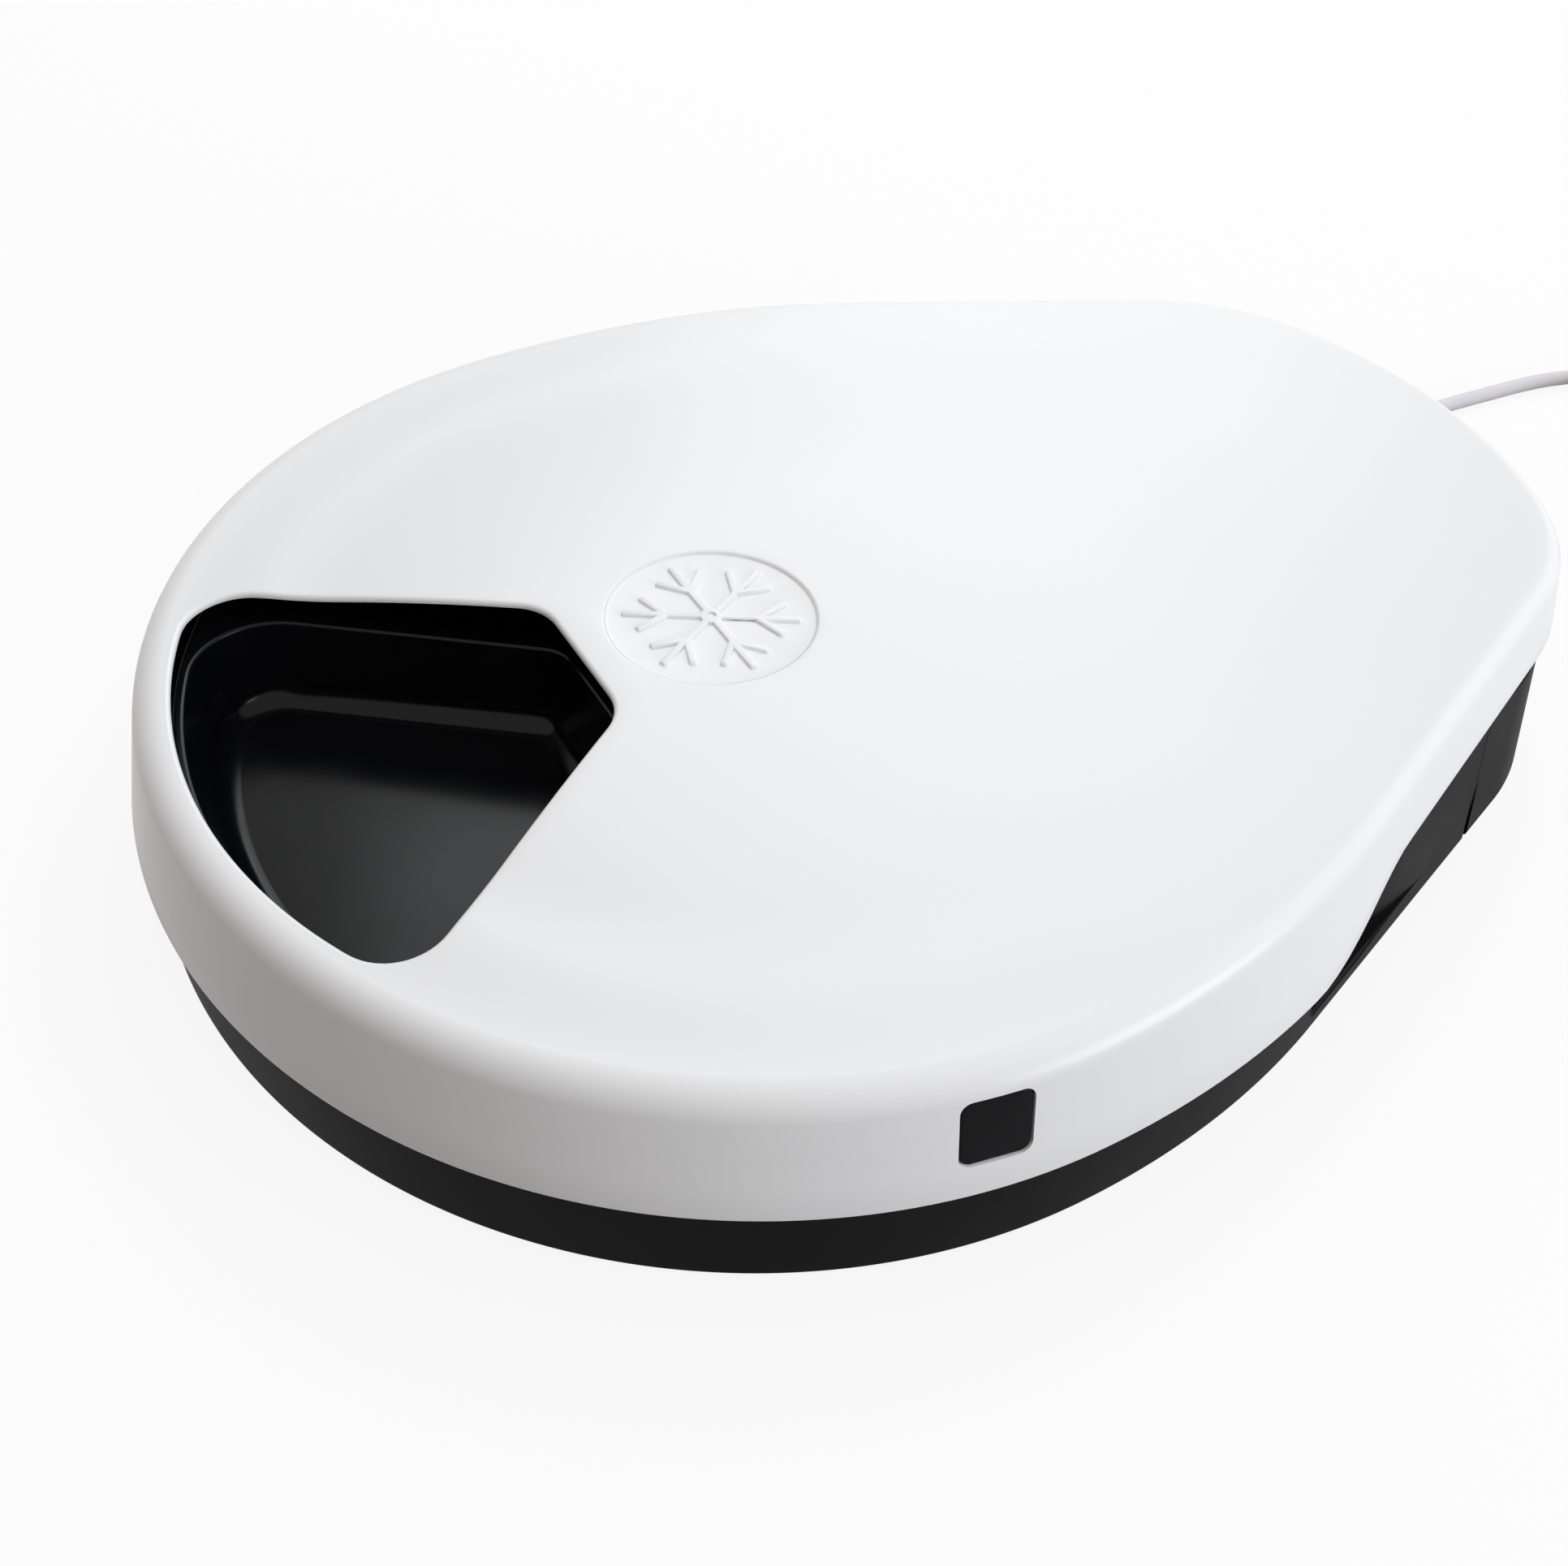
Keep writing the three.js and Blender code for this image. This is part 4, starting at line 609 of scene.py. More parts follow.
def mirrored(body):
    bm = bmesh.new()
    bm.from_mesh(body.data)
    return solid(bm, mirrorX)


def standIn(body, node, rides, finish):
    # the piece takes the CAD node's part, and both get the finish
    for data in (body.data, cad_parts[node].data):
        data.materials.clear()
        data.materials.append(materials[finish])
    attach(body, rides)
    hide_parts(node)


def asPiece(body, name, node, rides, finish, weighted=True):
    # from mm to the frame's metres, smooth but for edges that are sharper than the angle
    bm = bmesh.new()
    bm.from_mesh(body.data)
    bmesh.ops.transform(bm, matrix=toFrame, verts=bm.verts[:])
    for face in bm.faces:
        face.smooth = True
    for edge in bm.edges:
        edge.smooth = edge.is_manifold and edge.calc_face_angle(0) < sharpFrom
    mesh = bpy.data.meshes.new(name)
    bm.to_mesh(mesh)
    bm.free()
    body.data = mesh
    body.name = name
    if weighted:
        shading = body.modifiers.new("evenShading", "WEIGHTED_NORMAL")
        shading.keep_sharp = True
    standIn(body, node, rides, finish)
    print("  ", name, len(mesh.polygons), "faces")


def bothSides(operation, body):
    return [operation(mirrored(body)), operation(body)]


# Lid: drafted skirt, rounded shoulder, shallow trough, dome, opening and snow crystal

lidLook = {
    "seam": (26.5, 41.0), "seamRise": (80, 122),
    "crest": (57.7, 61.3), "crestRise": (-10, 133),
    "shoulder": (7.5, 5.0),
    "trough": (59.2, 60.3), "troughWidth": 24.0,
    "dome": 63.6, "domeFlat": 31.0, "domeStart": 0.22,
    "lean": radians(10.8),
    "wall": 2.5,
    "hub": (0, -88), "spokes": 360, "topRings": 64,
    "edgeRound": 0.6, "openingRound": 1.1,
    "shoulderRings": (10, 6),  # outside and inside
    "mouthRings": 5, "underRings": 20, "gather": 1.5,  # rings crowd towards the opening
    "lip": 1.7, "lipRings": 3,  # the wall at the opening, and the rings over which it thickens
    "underRound": 0.3, "underShare": 0.3,
    "opening": {
        "halfAngle": 35, "apex": 4, "outer": 129, "inner": 34.9, "outerFillet": 13.5,
        "innerFillet": 13,
    },
    "medallion": 26.0, "medallionDepth": 0.75, "medallionRound": 0.8,
    "crystalReach": 22.0, "crystalBar": 1.9, "crystalArms": 6, "crystalRing": 2.9,
    "crystalEye": 1.3, "eyeFloor": 0.25, "crystalRound": 0.5, "ringRound": 0.4,
    "crystalRoot": 0.8, "crystalBelow": 0.02,  # into the lid, and under its face
    "fork": 0.5, "twig": 0.42, "twigAngle": radians(42),
    "buttonPlace": Matrix.Translation((0, 12, 0)) @ turned(radians(-9.9)),
    "bracketAt": 141.3, "bracketPlate": 1.2, "bracketInside": 10.1, "bracketSide": 1.6,
    "bracketLow": 31, "stemHole": 1.8,
    "bracketEnd": (158, 60),  # past the skirt and the top, where the trimming ends it
    "trimLow": 20, "trimSpokes": 180, "trimRings": 4, "trimIn": 0.02,
    "trimShares": (0.3, 0.6, 0.9),
}
buttonLook = {
    "width": 16.0, "low": 35.0, "high": 51.5, "corner": 2.5, "sunk": 0.25, "edgeRound": 0.55,
    "flange": 1.8, "flangeTop": 0.7, "flangeThick": 1.0, "flangeAt": 146.5,
    "stem": 1.5, "stemEnd": 141.0, "room": 0.3, "overlap": 0.3, "flangeRound": 0.25,
    "faceRings": (0.8, 0.55, 0.3, 0.08),
}
plans["lid"]["measured"] = measured(plans["lid"])
plans["base"]["measured"] = measured(plans["base"])


def rise(look, what, y):
    span = look["seamRise"] if what == "seam" else look["crestRise"]
    return mix(*look[what], ease(y, *span))


def skirtInset(look, z):
    return (z - look["seam"][0]) * tan(look["lean"])


def crestInset(look, y):
    top = rise(look, "crest", y) - rise(look, "shoulder", y)
    return skirtInset(look, top) + rise(look, "shoulder", y) / cos(look["lean"])


def lidTop(look):
    # the height of the lid's upper face over a place
    outline = planOutline(plans["lid"])
    rim = [(p - out * (crestInset(look, p.y) + look["troughWidth"]), p.y) for p, out in outline]
    turns = [atan2(p.x, -p.y) % fullTurn for p, y in rim]
    turns[0] = 0.0
    turns.append(fullTurn)
    rim.append(rim[0])
    early = look["domeStart"]

    def height(x, y):
        depth, outsideY = depthIn(plans["lid"], x, y)
        depth -= crestInset(look, outsideY)
        if depth < look["troughWidth"]:
            share = ease(depth / look["troughWidth"])
            return mix(rise(look, "crest", outsideY), rise(look, "trough", outsideY), share)
        turn = atan2(x, -y) % fullTurn
        k = min(bisect.bisect_right(turns, turn), len(rim) - 1) - 1
        part = (turn - turns[k]) / (turns[k + 1] - turns[k])
        far = mix(rim[k][0].length, rim[k + 1][0].length, part)
        rimY = mix(rim[k][1], rim[k + 1][1], part)
        share = (far - hypot(x, y)) / (far - look["domeFlat"])
        share = min(1.0, max(0.0, share))
        share = share ** 2 / (2 * early) if share < early else share - early / 2
        share = min(1.0, share / (1 - early / 2))
        return mix(rise(look, "trough", rimY), look["dome"], 1 - (1 - share) ** 2)

    return height


def lidSkirt(look, edge, depth, steps):
    # rings from the seam up to the crest, drawn in by the wall's thickness
    lean, seam = look["lean"], lambda y: rise(look, "seam", y)
    rings = []

    def ring(inset, height):
        rings.append([(*(p - out * inset(p.y)), height(p.y)) for p, out in edge])

    top = lambda y: rise(look, "crest", y) - rise(look, "shoulder", y)
    for share in (0.0, 0.33, 0.67):
        height = lambda y: mix(seam(y) + (0 if depth else look["edgeRound"]), top(y), share)
        ring(lambda y: skirtInset(look, height(y)) + depth / cos(lean), height)
    for i in range(steps + 1):
        angle = mix(lean, pi / 2, i / steps)
        soft = lambda y: rise(look, "shoulder", y) - depth
        ring(
            lambda y: crestInset(look, y) - soft(y) * cos(angle),
            lambda y: top(y) + soft(y) * sin(angle),
        )
    return rings


def makeLidShell(look, height):
    edge = onSpokes(planOutline(plans["lid"]), look["hub"], look["spokes"])
    seam = lambda y: rise(look, "seam", y)
    small, wall = look["edgeRound"], look["wall"]
    rings = []
    for inset, up in ((small, 0.0), (cornerShare * small, cornerShare * small)):
        rings.append([
            (*(p - out * (skirtInset(look, seam(p.y)) + inset)), seam(p.y) + up)
            for p, out in edge
        ])
    rings += lidSkirt(look, edge, 0.0, look["shoulderRings"][0])
    crest = [p - out * crestInset(look, p.y) for p, out in edge]
    soft = look["openingRound"]
    mouth = {
        inset: [p for p, out in onSpokes(
            sectorOutline(look["opening"], inset), look["hub"], look["spokes"],
        )]
        for inset in (-soft, 0.0)
    }
    for i in range(1, look["topRings"] + 1):
        share = (i / look["topRings"]) ** look["gather"]
        places = [a.lerp(b, share) for a, b in zip(crest, mouth[-soft])]
        rings.append([(*p, height(*p)) for p in places])
    for down, left in quarter(look["mouthRings"], soft)[1:]:
        places = [a.lerp(b, 1 - left / soft) for a, b in zip(mouth[-soft], mouth[0.0])]
        rings.append([(*p, height(*p) - down) for p in places])
    lip = look["lip"]
    rings.append([(*p, height(*p) - lip + look["underRound"]) for p in mouth[0.0]])
    places = [a.lerp(b, look["underShare"]) for a, b in zip(mouth[0.0], mouth[-soft])]
    rings.append([(*p, height(*p) - lip) for p in places])
    for i in range(1, look["underRings"]):
        share = (1 - i / look["underRings"]) ** look["gather"]
        places = [a.lerp(b, share) for a, b in zip(crest, mouth[0.0])]
        deep = mix(lip, wall, min(1.0, i / look["lipRings"]))
        rings.append([(*p, height(*p) - deep) for p in places])
    rings += lidSkirt(look, edge, wall, look["shoulderRings"][1])[::-1]
    return solid(skin(rings, closed=True))


def makeCrystal(look, floor):
    # a small ring with thin raised strokes, all with softened edges
    half, reach, low = look["crystalBar"] / 2, look["crystalReach"], floor - look["crystalRoot"]
    top = look["dome"] - look["crystalBelow"]
    steps = []
    for arm in range(look["crystalArms"]):
        arms = turned(fullTurn * arm / look["crystalArms"])
        strokes = [(arms, reach)]
        for side in (-1, 1):
            bend = Matrix.Translation((reach * look["fork"], 0, 0))
            strokes.append((arms @ bend @ turned(side * look["twigAngle"]), reach * look["twig"]))
        for place, end in strokes:
            stroke = block((0, -half, low), (end, half, top), place, look["crystalRound"])
            steps.append(plus(stroke))
    eyeLow, above = floor + look["eyeFloor"], look["dome"] + 1
    steps.append(minus(rod(look["crystalEye"], eyeLow, above, sides=32)))
    ringTop = look["dome"] - look["crystalBelow"] / 2
    return carve(rod(look["crystalRing"], low, ringTop, sides=48, soft=look["ringRound"]), steps)


def makeBracket(look, height):
    # the frame that guides a button, trimmed to the inside of the lid
    at, inside, side = look["bracketAt"], look["bracketInside"], look["bracketSide"]
    outer = inside + side
    endX, endZ = look["bracketEnd"]
    bracket = block((at - look["bracketPlate"], -outer, look["bracketLow"]), (endX, outer, endZ))
    hole, up = 2 * look["stemHole"], (buttonLook["low"] + buttonLook["high"]) / 2
    carve(bracket, [
        minus(block((at, -inside, 0), (outside, inside, overhead))),
        minus(roundedBar(hole, hole, hole / 2 - 0.01, at - 3, at + 2, up)),
    ])
    # trimmed half a wall's thickness under the lid's outer face
    edge = onSpokes(planOutline(plans["lid"]), look["hub"], look["trimSpokes"])
    low = look["trimLow"]
    rings = [[(*(p - out * skirtInset(look, low)), low - look["wall"] / 2) for p, out in edge]]
    rings += lidSkirt(look, edge, look["trimIn"], look["trimRings"])[1:]
    crest = [p - out * crestInset(look, p.y) for p, out in edge]
    for share in look["trimShares"]:
        places = [p.lerp(Vector(look["hub"]), share) for p in crest]
        rings.append([(*p, height(*p)) for p in places])
    lowered = [[(x, y, z - look["wall"] / 2) for x, y, z in ring] for ring in rings]
    bracket.data.transform(look["buttonPlace"])
    return carve(bracket, [common(solid(skin(lowered)))])


def makeLid(look):
    height = lidTop(look)
    lid = makeLidShell(look, height)
    floor = look["dome"] - look["medallionDepth"]
    radius, soft, above = look["medallion"], look["medallionRound"], look["dome"] + 1
    recess = [(0, floor)]
    recess += [(radius - back, floor + up) for up, back in quarter(4, soft / 2)]
    recess += [(radius + out, look["dome"] - down) for out, down in quarter(5, soft)[1:]]
    recess += [(radius + soft, above), (0, above)]
    button, room = buttonLook, buttonLook["room"]
    hole = roundedBar(
        button["width"] + 2 * room, button["high"] - button["low"] + 2 * room,
        button["corner"] + room, look["bracketAt"] + look["bracketPlate"], outside,
        (button["low"] + button["high"]) / 2, look["buttonPlace"],
    )
    cutter = carve(spun(recess), bothSides(plus, hole))
    bracket = makeBracket(look, height)
    crystal = carve(makeCrystal(look, floor), bothSides(plus, bracket))
    carve(lid, [minus(cutter), plus(crystal)], "EXACT")
    asPiece(lid, "lidShell", "lid", "lid", "glossWhiteAbs", weighted=False)


def makeButton(look, lid):
    # rings from the flange out to the face, which follows the skirt's lean and its round
    width, tall = look["width"], look["high"] - look["low"]
    middle = (look["low"] + look["high"]) / 2
    radius = plans["lid"]["front"]
    section = roundedSection(width, tall, look["corner"], 8)
    face = lambda across, up: sqrt(
        (radius - skirtInset(lid, middle + up)) ** 2 - across ** 2,
    ) - look["sunk"]
    soft = look["edgeRound"]
    rings = [[(look["flangeAt"] - look["overlap"], *(corner + out)) for corner, out in section]]
    for drawn, down in quarter(5, soft):
        ring = []
        for corner, out in section:
            across, up = corner + out * (1 - drawn / look["corner"])
            ring.append((face(across, up) - down, across, up))
        rings.append(ring)
    for share in look["faceRings"]:
        flat = [(corner + out * (1 - soft / look["corner"])) * share for corner, out in section]
        rings.append([(face(*place), *place) for place in flat])
    rings = [[(x, across, middle + up) for x, across, up in ring] for ring in rings]
    button = solid(skin(rings))
    flange, at = look["flange"], look["flangeAt"]
    lying = Matrix.Translation((0, 0, middle)) @ turned(pi / 2, "Y")
    stem = rod(look["stem"], look["stemEnd"], at - 0.5, 0, 0, 32, look["overlap"], lying)
    carve(button, [
        plus(block(
            (at - look["flangeThick"], -width / 2 - flange, look["low"] - flange),
            (at, width / 2 + flange, look["high"] + look["flangeTop"]), None, look["flangeRound"],
        )),
        plus(stem),
    ])
    button.data.transform(lid["buttonPlace"])
    left = mirrored(button)
    for body, side in ((button, "right"), (left, "left")):
        asPiece(
            body, f"releaseButton{side.title()}", f"release_button_{side}", f"button_{side}",
            "buttonBlackAbs",
        )


makeLid(lidLook)
makeButton(buttonLook, lidLook)
print("lid and buttons made")


# Tray: five cups hang from a flat top with rounded rims, and a hub takes the spindle

trayLook = {
    "radius": 130.0, "top": 49.5, "flange": 2.4, "wall": 2.0, "edgeRound": 0.8,
    "rimRound": 1.1, "lean": 4.0, "floorRound": 6.0, "bottom": 25.7,
    "pocket": {
        "halfAngle": 36, "apex": 2.6 / sin(pi / 5), "outer": 127, "inner": 31.5,
        "outerFillet": 19, "innerFillet": 9,
    },
    "lipDeep": 7.2, "lipOverlap": 1.2, "lipIn": 0.9, "lipRound": 0.4,
    "rimSteps": 5, "floorSteps": 8,
    "hub": 12.5, "hex": 8.3, "hexTop": 42.8, "compartments": 5,
}


def pocketRings(look, levels):
    return [
        [(*p, z) for p, out in sectorOutline(look["pocket"], inset)] for inset, z in levels
    ]


def makeTray(look):
    top, wall, lean, soft = look["top"], look["wall"], look["lean"], look["floorRound"]
    floor, rim, far = look["bottom"] + wall, look["rimRound"], soft + wall
    inner = [(-rim, top + 1)]
    inner += [(-back, top - down) for down, back in quarter(look["rimSteps"], rim)]
    inner += [(lean + inset, floor + up) for inset, up in quarter(look["floorSteps"], soft)]
    outer = [(-wall, top - look["lipOverlap"])]
    for inset, up in quarter(look["floorSteps"], far):
        outer.append((lean - wall + inset, look["bottom"] + up))
    under = top - look["flange"]
    tray = rod(look["radius"], under, top, sides=bigSides, soft=look["edgeRound"])
    lip = rod(
        look["radius"], top - look["lipDeep"], under + look["lipIn"], sides=bigSides,
        soft=look["lipRound"],
    )
    carve(lip, [minus(rod(look["radius"] - wall, 0, overhead, sides=bigSides))])
    turns = [
        turned(fullTurn * i / look["compartments"])
        for i in range(look["compartments"])
    ]
    steps = [plus(lip)]
    steps += [plus(solid(skin(pocketRings(look, outer)), turn)) for turn in turns]
    steps.append(plus(rod(look["hub"], look["bottom"], top - 0.4, sides=96, soft=0.5)))
    steps += [minus(solid(skin(pocketRings(look, inner)), turn)) for turn in turns]
    steps.append(minus(rod(look["hex"], look["bottom"] - 2, look["hexTop"], sides=6)))
    carve(tray, steps)
    asPiece(tray, "foodTray", "food_tray", "turntable", "polishedBlackPp")


makeTray(trayLook)
print("tray made")


# Base shell and rear cover. Their walls lean in up to the lid's edge at the rear.

baseLook = {
    "bottom": 1.7, "wall": 3.6, "bottomRound": 1.5, "topRound": 0.5, "gap": 0.3,
    "lean": 5.0, "leanFrom": (60, 160),
    "rimInset": 3.3, "rimWall": 2.5, "rimLow": 22.9, "rimTop": 38.0,
    "deckInset": 6.0, "deckWall": 2.2, "deckLow": 30.8, "deckTop": 46.0, "deckPlate": 2.5,
    "deckStart": 96.0, "deckRound": 0.8,
    "well": 131.6, "wellWall": 2.5, "wellFloor": (5.7, 7.5),
    "housing": 63.0, "housingWall": 2.5, "housingTop": 22.0, "housingRoof": 2.2, "bushHole": 8.6,
    "housingRound": 1.2, "housingSides": (192, 160),  # outside and inside
    "coverStart": 172.0, "coverWall": 3.0, "grooveWide": 1.1, "grooveDeep": 0.7,
    "notchAt": 138.5, "notchHalf": 11.7, "notchFloor": 28.0, "notchEnd": 158,
    "scoopStart": 88.0, "scoopLength": 66.0, "scoopDepth": 9.0, "scoopFloor": 9.0,
    "scoopWall": 2.4, "scoopLip": 2.0,
    "scoopLine": [(0, 0), (0.05, 0.7), (0.14, 1), (0.34, 0.72), (0.6, 0.28), (1, 0)],
    "panelY": 181.8, "keys": (16, 33, 50), "keyHole": 5.8, "panelCut": (40, 50),
    "window": (52, 20, 1.6), "windowX": -26.0,
    "postX": 56.2, "postY": 14.2, "postRadius": 2.4, "postLow": 37.3,
    "screwCircle": 117.6, "screwAngles": (-135, -45, 22, 158), "rearScrewY": 191.0,
    "rearScrewInset": 15.0, "bossRadius": 4.0, "pilot": 1.85, "coverTop": 4.2,
    "overlap": (0.5, 0.3),  # of a boss with the deck and with the well's floor
}


def leanIn(look, y, z):
    share = (z - look["bottom"]) / (rise(lidLook, "seam", y) - look["bottom"])
    return look["lean"] * ease(y, *look["leanFrom"]) * min(1.0, max(0.0, share))


def baseRing(look, edge, inset, height):
    ring = []
    for p, out in edge:
        z = height(p.y) if callable(height) else height
        ring.append((*(p - out * (inset + leanIn(look, p.y, z))), z))
    return ring


def baseBlock(look, edge, inset, low, high, soft=0.0):
    levels = [(0.0, low), (0.0, high)]
    if soft:
        levels[1:] = [(more, high - down) for more, down in quarter(3, soft)]
    return solid(skin([baseRing(look, edge, inset + more, z) for more, z in levels]))


def sideWall(look, edge, thickness):
    top = lambda y: rise(lidLook, "seam", y) - look["gap"]
    soft, small = look["bottomRound"], look["topRound"]
    rings = []
    for up, inset in quarter(4, soft):
        rings.append(baseRing(look, edge, inset, look["bottom"] + up))
    rings.append(baseRing(look, edge, 0.0, lambda y: mix(look["bottom"], top(y), 0.5)))
    for inset, down in quarter(3, small):
        rings.append(baseRing(look, edge, inset, lambda y: top(y) - down))
    rings.append(baseRing(look, edge, thickness, top))
    rings.append(baseRing(look, edge, thickness, look["bottom"]))
    return solid(skin(rings, closed=True))


def sideFace(y):
    # the base's right side at its foot: the place and the direction that leads out there
    plan = plans["base"]
    angle = min(radians(plan["taper"]), asin((y - plans["circleY"]) / plan["side"]))
    out = Vector((cos(angle), sin(angle)))
    foot = Vector((plan["front"] - plan["side"], plans["circleY"])) + plan["side"] * out
    return Vector((foot.x - (y - foot.y) * out.y / out.x, y)), out


def alongSide(look, start, length, section):
    # a solid whose section (inset, height) changes along the base's side
    line = smoothed([Vector((*pair, 0)) for pair in look["scoopLine"]], 6)
    rings = []
    for point in line:
        foot, out = sideFace(start + point.x * length)
        rings.append([
            (*(foot - out * inset), z) for inset, z in section(foot.y, max(0.0, point.y))
        ])
    return solid(skin(rings))


def scoopCut(look):
    floor = look["scoopFloor"]

    def section(y, deep):
        face = leanIn(look, y, floor)
        depth = max(deep * look["scoopDepth"], face + 0.02)
        lip = min(look["scoopLip"], (depth - face) * 0.4)
        bit, start, top = cornerShare * lip, -3.5, look["rimTop"] + 1.5
        return [
            (start, floor - lip), (face, floor - lip), (face + bit, floor - bit),
            (face + lip, floor), (depth - lip, floor), (depth - bit, floor + bit),
            (depth, floor + lip), (depth, top), (start, top),
        ]

    return alongSide(look, look["scoopStart"], look["scoopLength"], section)


def scoopBack(look, edge):
    wall, inset = look["scoopWall"], look["rimInset"]
    low = look["scoopFloor"] - wall

    def section(y, deep):
        near, depth = inset - 0.2, max(deep * (look["scoopDepth"] + wall), inset + 0.2)
        return [(near, low), (depth, low), (depth, look["rimTop"]), (near, look["rimTop"])]

    start, length = look["scoopStart"] - wall, look["scoopLength"] + 2 * wall
    return carve(alongSide(look, start, length, section), [
        common(baseBlock(look, edge, inset, 0, look["rimTop"])),
    ])


def screwPlaces(look):
    places = [
        (look["screwCircle"] * cos(angle), look["screwCircle"] * sin(angle))
        for angle in map(radians, look["screwAngles"])
    ]
    x = sideFace(look["rearScrewY"])[0].x - look["rearScrewInset"]
    return places + [(-x, look["rearScrewY"]), (x, look["rearScrewY"])]


def coverGroove(look, edge, start, end):
    # a shallow step beside the parting line between the shell and the rear cover
    band = solid(skin([
        baseRing(look, edge, inset, z)
        for inset, z in ((-2, 0), (-2, 60), (look["grooveDeep"], 60), (look["grooveDeep"], 0))
    ], closed=True))
    return carve(band, [common(block((-beyond, start, below), (beyond, end, 70)))])


def makeBaseShell(look):
    edge = planOutline(plans["base"])
    wellOuter = look["well"] + look["wellWall"]
    rim = baseBlock(look, edge, look["rimInset"], look["rimLow"], look["rimTop"], 0.4)
    carve(rim, [minus(baseBlock(
        look, edge, look["rimInset"] + look["rimWall"], 0, look["rimTop"] - look["rimWall"],
    ))])
    deck = baseBlock(
        look, edge, look["deckInset"], look["deckLow"], look["deckTop"], look["deckRound"],
    )
    carve(deck, [common(block((-beyond, look["deckStart"], 0), (beyond, beyond, overhead)))])
    bay = baseBlock(
        look, edge, look["deckInset"] + look["deckWall"], 0, look["deckTop"] - look["deckPlate"],
    )
    bayStart = look["deckStart"] + look["deckWall"]
    carve(bay, [
        common(block((-beyond, bayStart, -1), (beyond, beyond, overhead))),
        minus(rod(wellOuter, -2, 80, sides=bigSides)),
    ])
    at, half, wall, floor = look["notchAt"], look["notchHalf"], look["rimWall"], look["notchFloor"]
    pocket = block(
        (at - wall, -half - 2 * wall, floor - wall),
        (look["notchEnd"], half + 2 * wall, look["rimTop"]),
        lidLook["buttonPlace"],
    )
    carve(pocket, [common(baseBlock(look, edge, look["rimInset"], 0, look["rimTop"]))])
    notch = block((at, -half - 1, floor), (outside, half + 1, 60), lidLook["buttonPlace"])
    shell = sideWall(look, edge, look["wall"])
    steps = [common(block((-beyond, -beyond, below), (beyond, look["coverStart"], overhead)))]
    steps += [plus(rim), plus(deck)] + bothSides(plus, pocket)
    wellLow, wellTop = look["wellFloor"]
    steps.append(plus(rod(wellOuter, wellLow, look["rimTop"], sides=bigSides, soft=0.4)))
    steps += bothSides(plus, scoopBack(look, edge))
    steps += [minus(bay), minus(rod(look["well"], wellTop, 60, sides=bigSides))]
    steps += bothSides(minus, notch) + bothSides(minus, scoopCut(look))
    outerSides, innerSides = look["housingSides"]
    steps.append(plus(rod(
        look["housing"], wellLow, look["housingTop"], sides=outerSides, soft=look["housingRound"],
    )))
    inDeck, inFloor = look["overlap"]
    for x, y in screwPlaces(look):
        isRear = y > wellOuter
        top = look["deckTop"] - inDeck if isRear else wellTop - inFloor
        steps.append(plus(rod(look["bossRadius"], look["coverTop"] + 0.3, top, x, y, 40)))
    for sideX in (-1, 1):
        for sideY in (-1, 1):
            steps.append(plus(rod(
                look["postRadius"], look["postLow"], look["deckTop"] - inDeck,
                sideX * look["postX"], look["panelY"] + sideY * look["postY"], 32,
            )))
    inside = look["housing"] - look["housingWall"]
    under = look["housingTop"] - look["housingRoof"]
    steps.append(minus(rod(inside, -1, under, sides=innerSides)))
    steps.append(minus(rod(look["bushHole"], 0, look["housingTop"] + 1, sides=64)))
    for x in look["keys"]:
        steps.append(minus(rod(look["keyHole"], *look["panelCut"], x, look["panelY"], 64)))
    for x, y in screwPlaces(look):
        steps.append(minus(rod(look["pilot"], 0, look["coverTop"] + 2.4, x, y, 32)))
    width, depth, corner = look["window"]
    upright = Matrix.Translation((look["windowX"], look["panelY"], 0)) @ turned(-pi / 2, "Y")
    steps.append(minus(roundedBar(depth, width, corner, *look["panelCut"], 0, upright)))
    steps.append(minus(coverGroove(
        look, edge, look["coverStart"] - look["grooveWide"], look["coverStart"] + 0.1,
    )))
    carve(shell, steps)
    asPiece(shell, "baseShell", "base_shell", "base", "satinBlackAbs")


plugLook = {
    "from": (0, 102),  # middle of the base's rear arc, which the plug points away from
    "turn": radians(16), "height": 12.0, "body": (10.5, 7.6, 1.9),
    "hole": (9.0, 3.2, 0.3), "start": 141.47, "bodyEnd": 161.47, "reliefEnd": 183.47,
    "reliefRoot": 3.6, "reliefTip": 2.9, "reliefRibs": 7, "ribDeep": 0.35, "ribSteps": 8,
    "overlap": 0.5,
}


def plugPlace(look):
    # +X runs along the plug, away from the base
    place = Matrix.Translation((*look["from"], 0)) @ turned(look["turn"])
    return place @ turned(pi / 2)


def makeRearCover(look, plug):
    edge = planOutline(plans["base"])
    cover = sideWall(look, edge, look["coverWall"])
    start = look["coverStart"] + look["gap"]
    carve(cover, [
        common(block((-beyond, start, below), (beyond, beyond, overhead))),
        minus(roundedBar(*plug["hole"], 120, 160, plug["height"], plugPlace(plug))),
        minus(coverGroove(look, edge, start - 0.1, start + look["grooveWide"])),
    ])
    asPiece(cover, "rearCover", "rear_cover", "base", "satinBlackAbs")


makeBaseShell(baseLook)
makeRearCover(baseLook, plugLook)
print("base and rear cover made")
